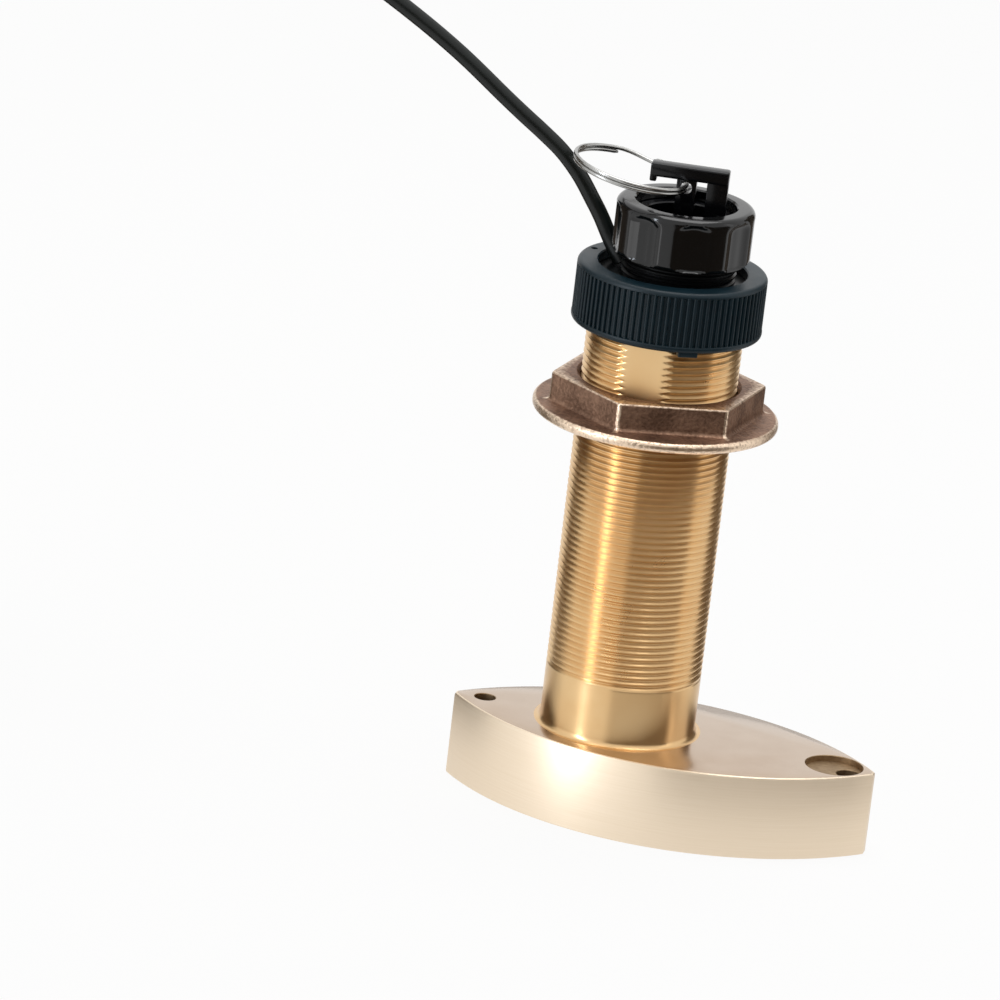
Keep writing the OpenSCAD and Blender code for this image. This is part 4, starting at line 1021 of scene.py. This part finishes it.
def makeTie(shift, side, width, rounding, edge):
    # a strap round one side of the hank, with round corners
    cx, cy = hankSettings["centre"]
    thick = hankSettings["tieThickness"]
    reach = (hankSettings["columns"] * hankSettings["pitch"] + thick) / 2 - rounding
    middle = cy + side * hankSettings["meanRadius"]
    low, high = middle - reach, middle + reach
    bottom = thick / 2 + rounding
    top = thick + hankSettings["layers"] * hankSettings["pitch"] + thick / 2 - rounding
    corners = ((low, bottom, 180), (high, bottom, 270), (high, top, 0), (low, top, 90))
    loop = [p for y, z, turn in corners for p in quarter((y, z), rounding, turn, turn + 90)]
    left, right = cx + shift - width / 2, cx + shift + width / 2
    rings = []
    for i, (y, z) in enumerate(loop):
        (ya, za), (yb, zb) = loop[i - 1], loop[(i + 1) % len(loop)]
        out = Vector((zb - za, ya - yb)).normalized() * thick / 2
        rings.append([(left, y - out.x, z - out.y), (left + edge, y + out.x, z + out.y),
                      (right - edge, y + out.x, z + out.y), (right, y - out.x, z - out.y)])
    return pieceFrom("hankTie" + str(shift), loft(rings, looped=True), tieCloth, 40)


ties = [makeTie(shift, side, **tieSettings) for shift, side in tiePlaces]
for tie in ties:
    seat(tie, "transducer", "tie_webbing")
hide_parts("coil_ties")

cable.data.materials.append(cableJacket)
seat(cable, "transducer", "cable_jacket", "cable_rise", "cable_coil", "cable_tail")
print("plug and ties made")

# Finishes of the solids that show as they are

solidFinish = {
    "acoustic_window": windowResin, "piezo_disc": discCeramic, "absorber_disc": corkPad,
    "temperature_probe": stemMetal, "inner_lead": leadSheath, "sleeve_gasket": sealRubber,
    "sleeve_seals": sealRubber, "insert_seals": sealRubber, "speed_sensor": sensorBoard,
    "cable_gland": sealRubber, "paddlewheel": handlePlastic, "paddle_axle": wireSteel,
    "paddle_magnets": wireSteel, "plug_pins": stemMetal,
}
for nodeName, finish in solidFinish.items():
    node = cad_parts[nodeName]
    node.data.materials.clear()
    node.data.materials.append(finish)

# Floor, light and background, in metres

stageSettings = {"floor": "#F4F4F2", "floorSize": 8, "fill": 0.45, "whiteShare": 0.91}


def seenDirectly(tree):
    # 1 where the eye, a mirror or glass looks at the floor or the background
    ray = addNode(tree, "ShaderNodeLightPath")
    seen = (ray, "Is Camera Ray")
    for kind in ("Is Glossy Ray", "Is Transmission Ray"):
        seen = (addNode(tree, "ShaderNodeMath", {0: seen, 1: (ray, kind)}, operation="MAXIMUM"), 0)
    return seen


floorMesh = bpy.data.meshes.new("floor")
half = stageSettings["floorSize"] / 2
corners = [(-half, -half, 0), (half, -half, 0), (half, half, 0), (-half, half, 0)]
floorMesh.from_pydata(corners, [], [(0, 1, 2, 3)])
floorMaterial, tree = newMaterial("studioFloor")
share = addNode(tree, "ShaderNodeMath", {
    0: seenDirectly(tree), 1: stageSettings["whiteShare"]}, operation="MULTIPLY")
matt = addNode(tree, "ShaderNodeBsdfDiffuse", {"Color": hexColor(stageSettings["floor"])})
white = addNode(tree, "ShaderNodeEmission", {"Color": (1, 1, 1, 1), "Strength": 1.0})
endMaterial(tree, addNode(tree, "ShaderNodeMixShader", {0: (share, 0), 1: (matt, 0), 2: (white, 0)}))
floor = newObject("floor", floorMesh, floorMaterial)

world = bpy.data.worlds.new("studio")
scene.world = world
world.use_nodes = True
tree = world.node_tree
tree.nodes.clear()
level = addNode(tree, "ShaderNodeMapRange", {
    "Value": seenDirectly(tree), "To Min": stageSettings["fill"], "To Max": 1.0})
sky = addNode(tree, "ShaderNodeBackground", {"Color": (1, 1, 1, 1), "Strength": (level, "Result")})
addNode(tree, "ShaderNodeOutputWorld", {"Surface": (sky, 0)})

lampSettings = [
    # name, place, target, size, power in watts, colour
    ("keyLamp", (-0.95, -1.08, 0.6), (-0.016, 0, 0.1), (0.16, 1.1), 8.2, "#ECF4FF"),
    ("sideLamp", (1.4, 0.2, 0.8), (-0.016, 0, 0.1), (0.3, 1.0), 0.6, "#FFFFFF"),
    ("topLamp", (0, 0.2, 1.8), (0, 0, 0), (1.2, 1.2), 16, "#FFFFFF"),
]
for name, place, target, size, power, colour in lampSettings:
    lampData = bpy.data.lights.new(name, "AREA")
    lampData.shape = "RECTANGLE"
    lampData.size, lampData.size_y = size
    lampData.energy = power
    lampData.color = hexColor(colour)[:3]
    lamp = bpy.data.objects.new(name, lampData)
    lamp.location = place
    lamp.rotation_euler = (Vector(target) - Vector(place)).to_track_quat("-Z", "Y").to_euler()
    scene.collection.objects.link(lamp)
    lamp.visible_diffuse = name != "keyLamp"  # the key shows only as a gloss

# cards that only the metal and the plastic mirror; a sector is from turn, to turn, near, far and height
cardSettings = {
    "grey": {"shade": "#766A5E", "glow": 0, "sectors": (
        (-93, 2, 0.21, 1.4, 0.6), (46, 78, 0.2, 1.4, 0.9), (140, 177, 0.2, 1.4, 0.9))},
    "white": {"shade": "#FFFFFF", "glow": 2.4, "sectors": ((-141, -119, 0.5, 0.95, 0.002),)},
}
cardSteps, cardLift = 12, 0.002


def makeCards(name, shade, glow, sectors):
    # each sector lies on the floor from near to far and stands up at its far edge
    material, tree = newMaterial(name + "Card")
    if glow:
        face = addNode(tree, "ShaderNodeEmission", {"Color": hexColor(shade), "Strength": glow})
    else:
        face = addNode(tree, "ShaderNodeBsdfDiffuse", {"Color": hexColor(shade)})
    endMaterial(tree, face)
    points, faces = [], []
    for fromTurn, toTurn, near, far, height in sectors:
        first = len(points)
        profile = ((near, cardLift), (far, cardLift), (far, height + cardLift))
        for i in range(cardSteps + 1):
            t = math.radians(fromTurn + (toTurn - fromTurn) * i / cardSteps)
            points += [(r * math.cos(t), r * math.sin(t), z) for r, z in profile]
        starts = [first + 3 * i + k for i in range(cardSteps) for k in (0, 1)]
        faces += [(s, s + 1, s + 4, s + 3) for s in starts]
    mesh = bpy.data.meshes.new(name + "Cards")
    mesh.from_pydata(points, [], faces)
    card = newObject(name + "Cards", mesh, material)
    card.visible_camera = False
    card.visible_shadow = False
    card.visible_diffuse = False


for cardName, card in cardSettings.items():
    makeCards(cardName, **card)

scene.view_settings.view_transform = "Standard"
print("stage lit")
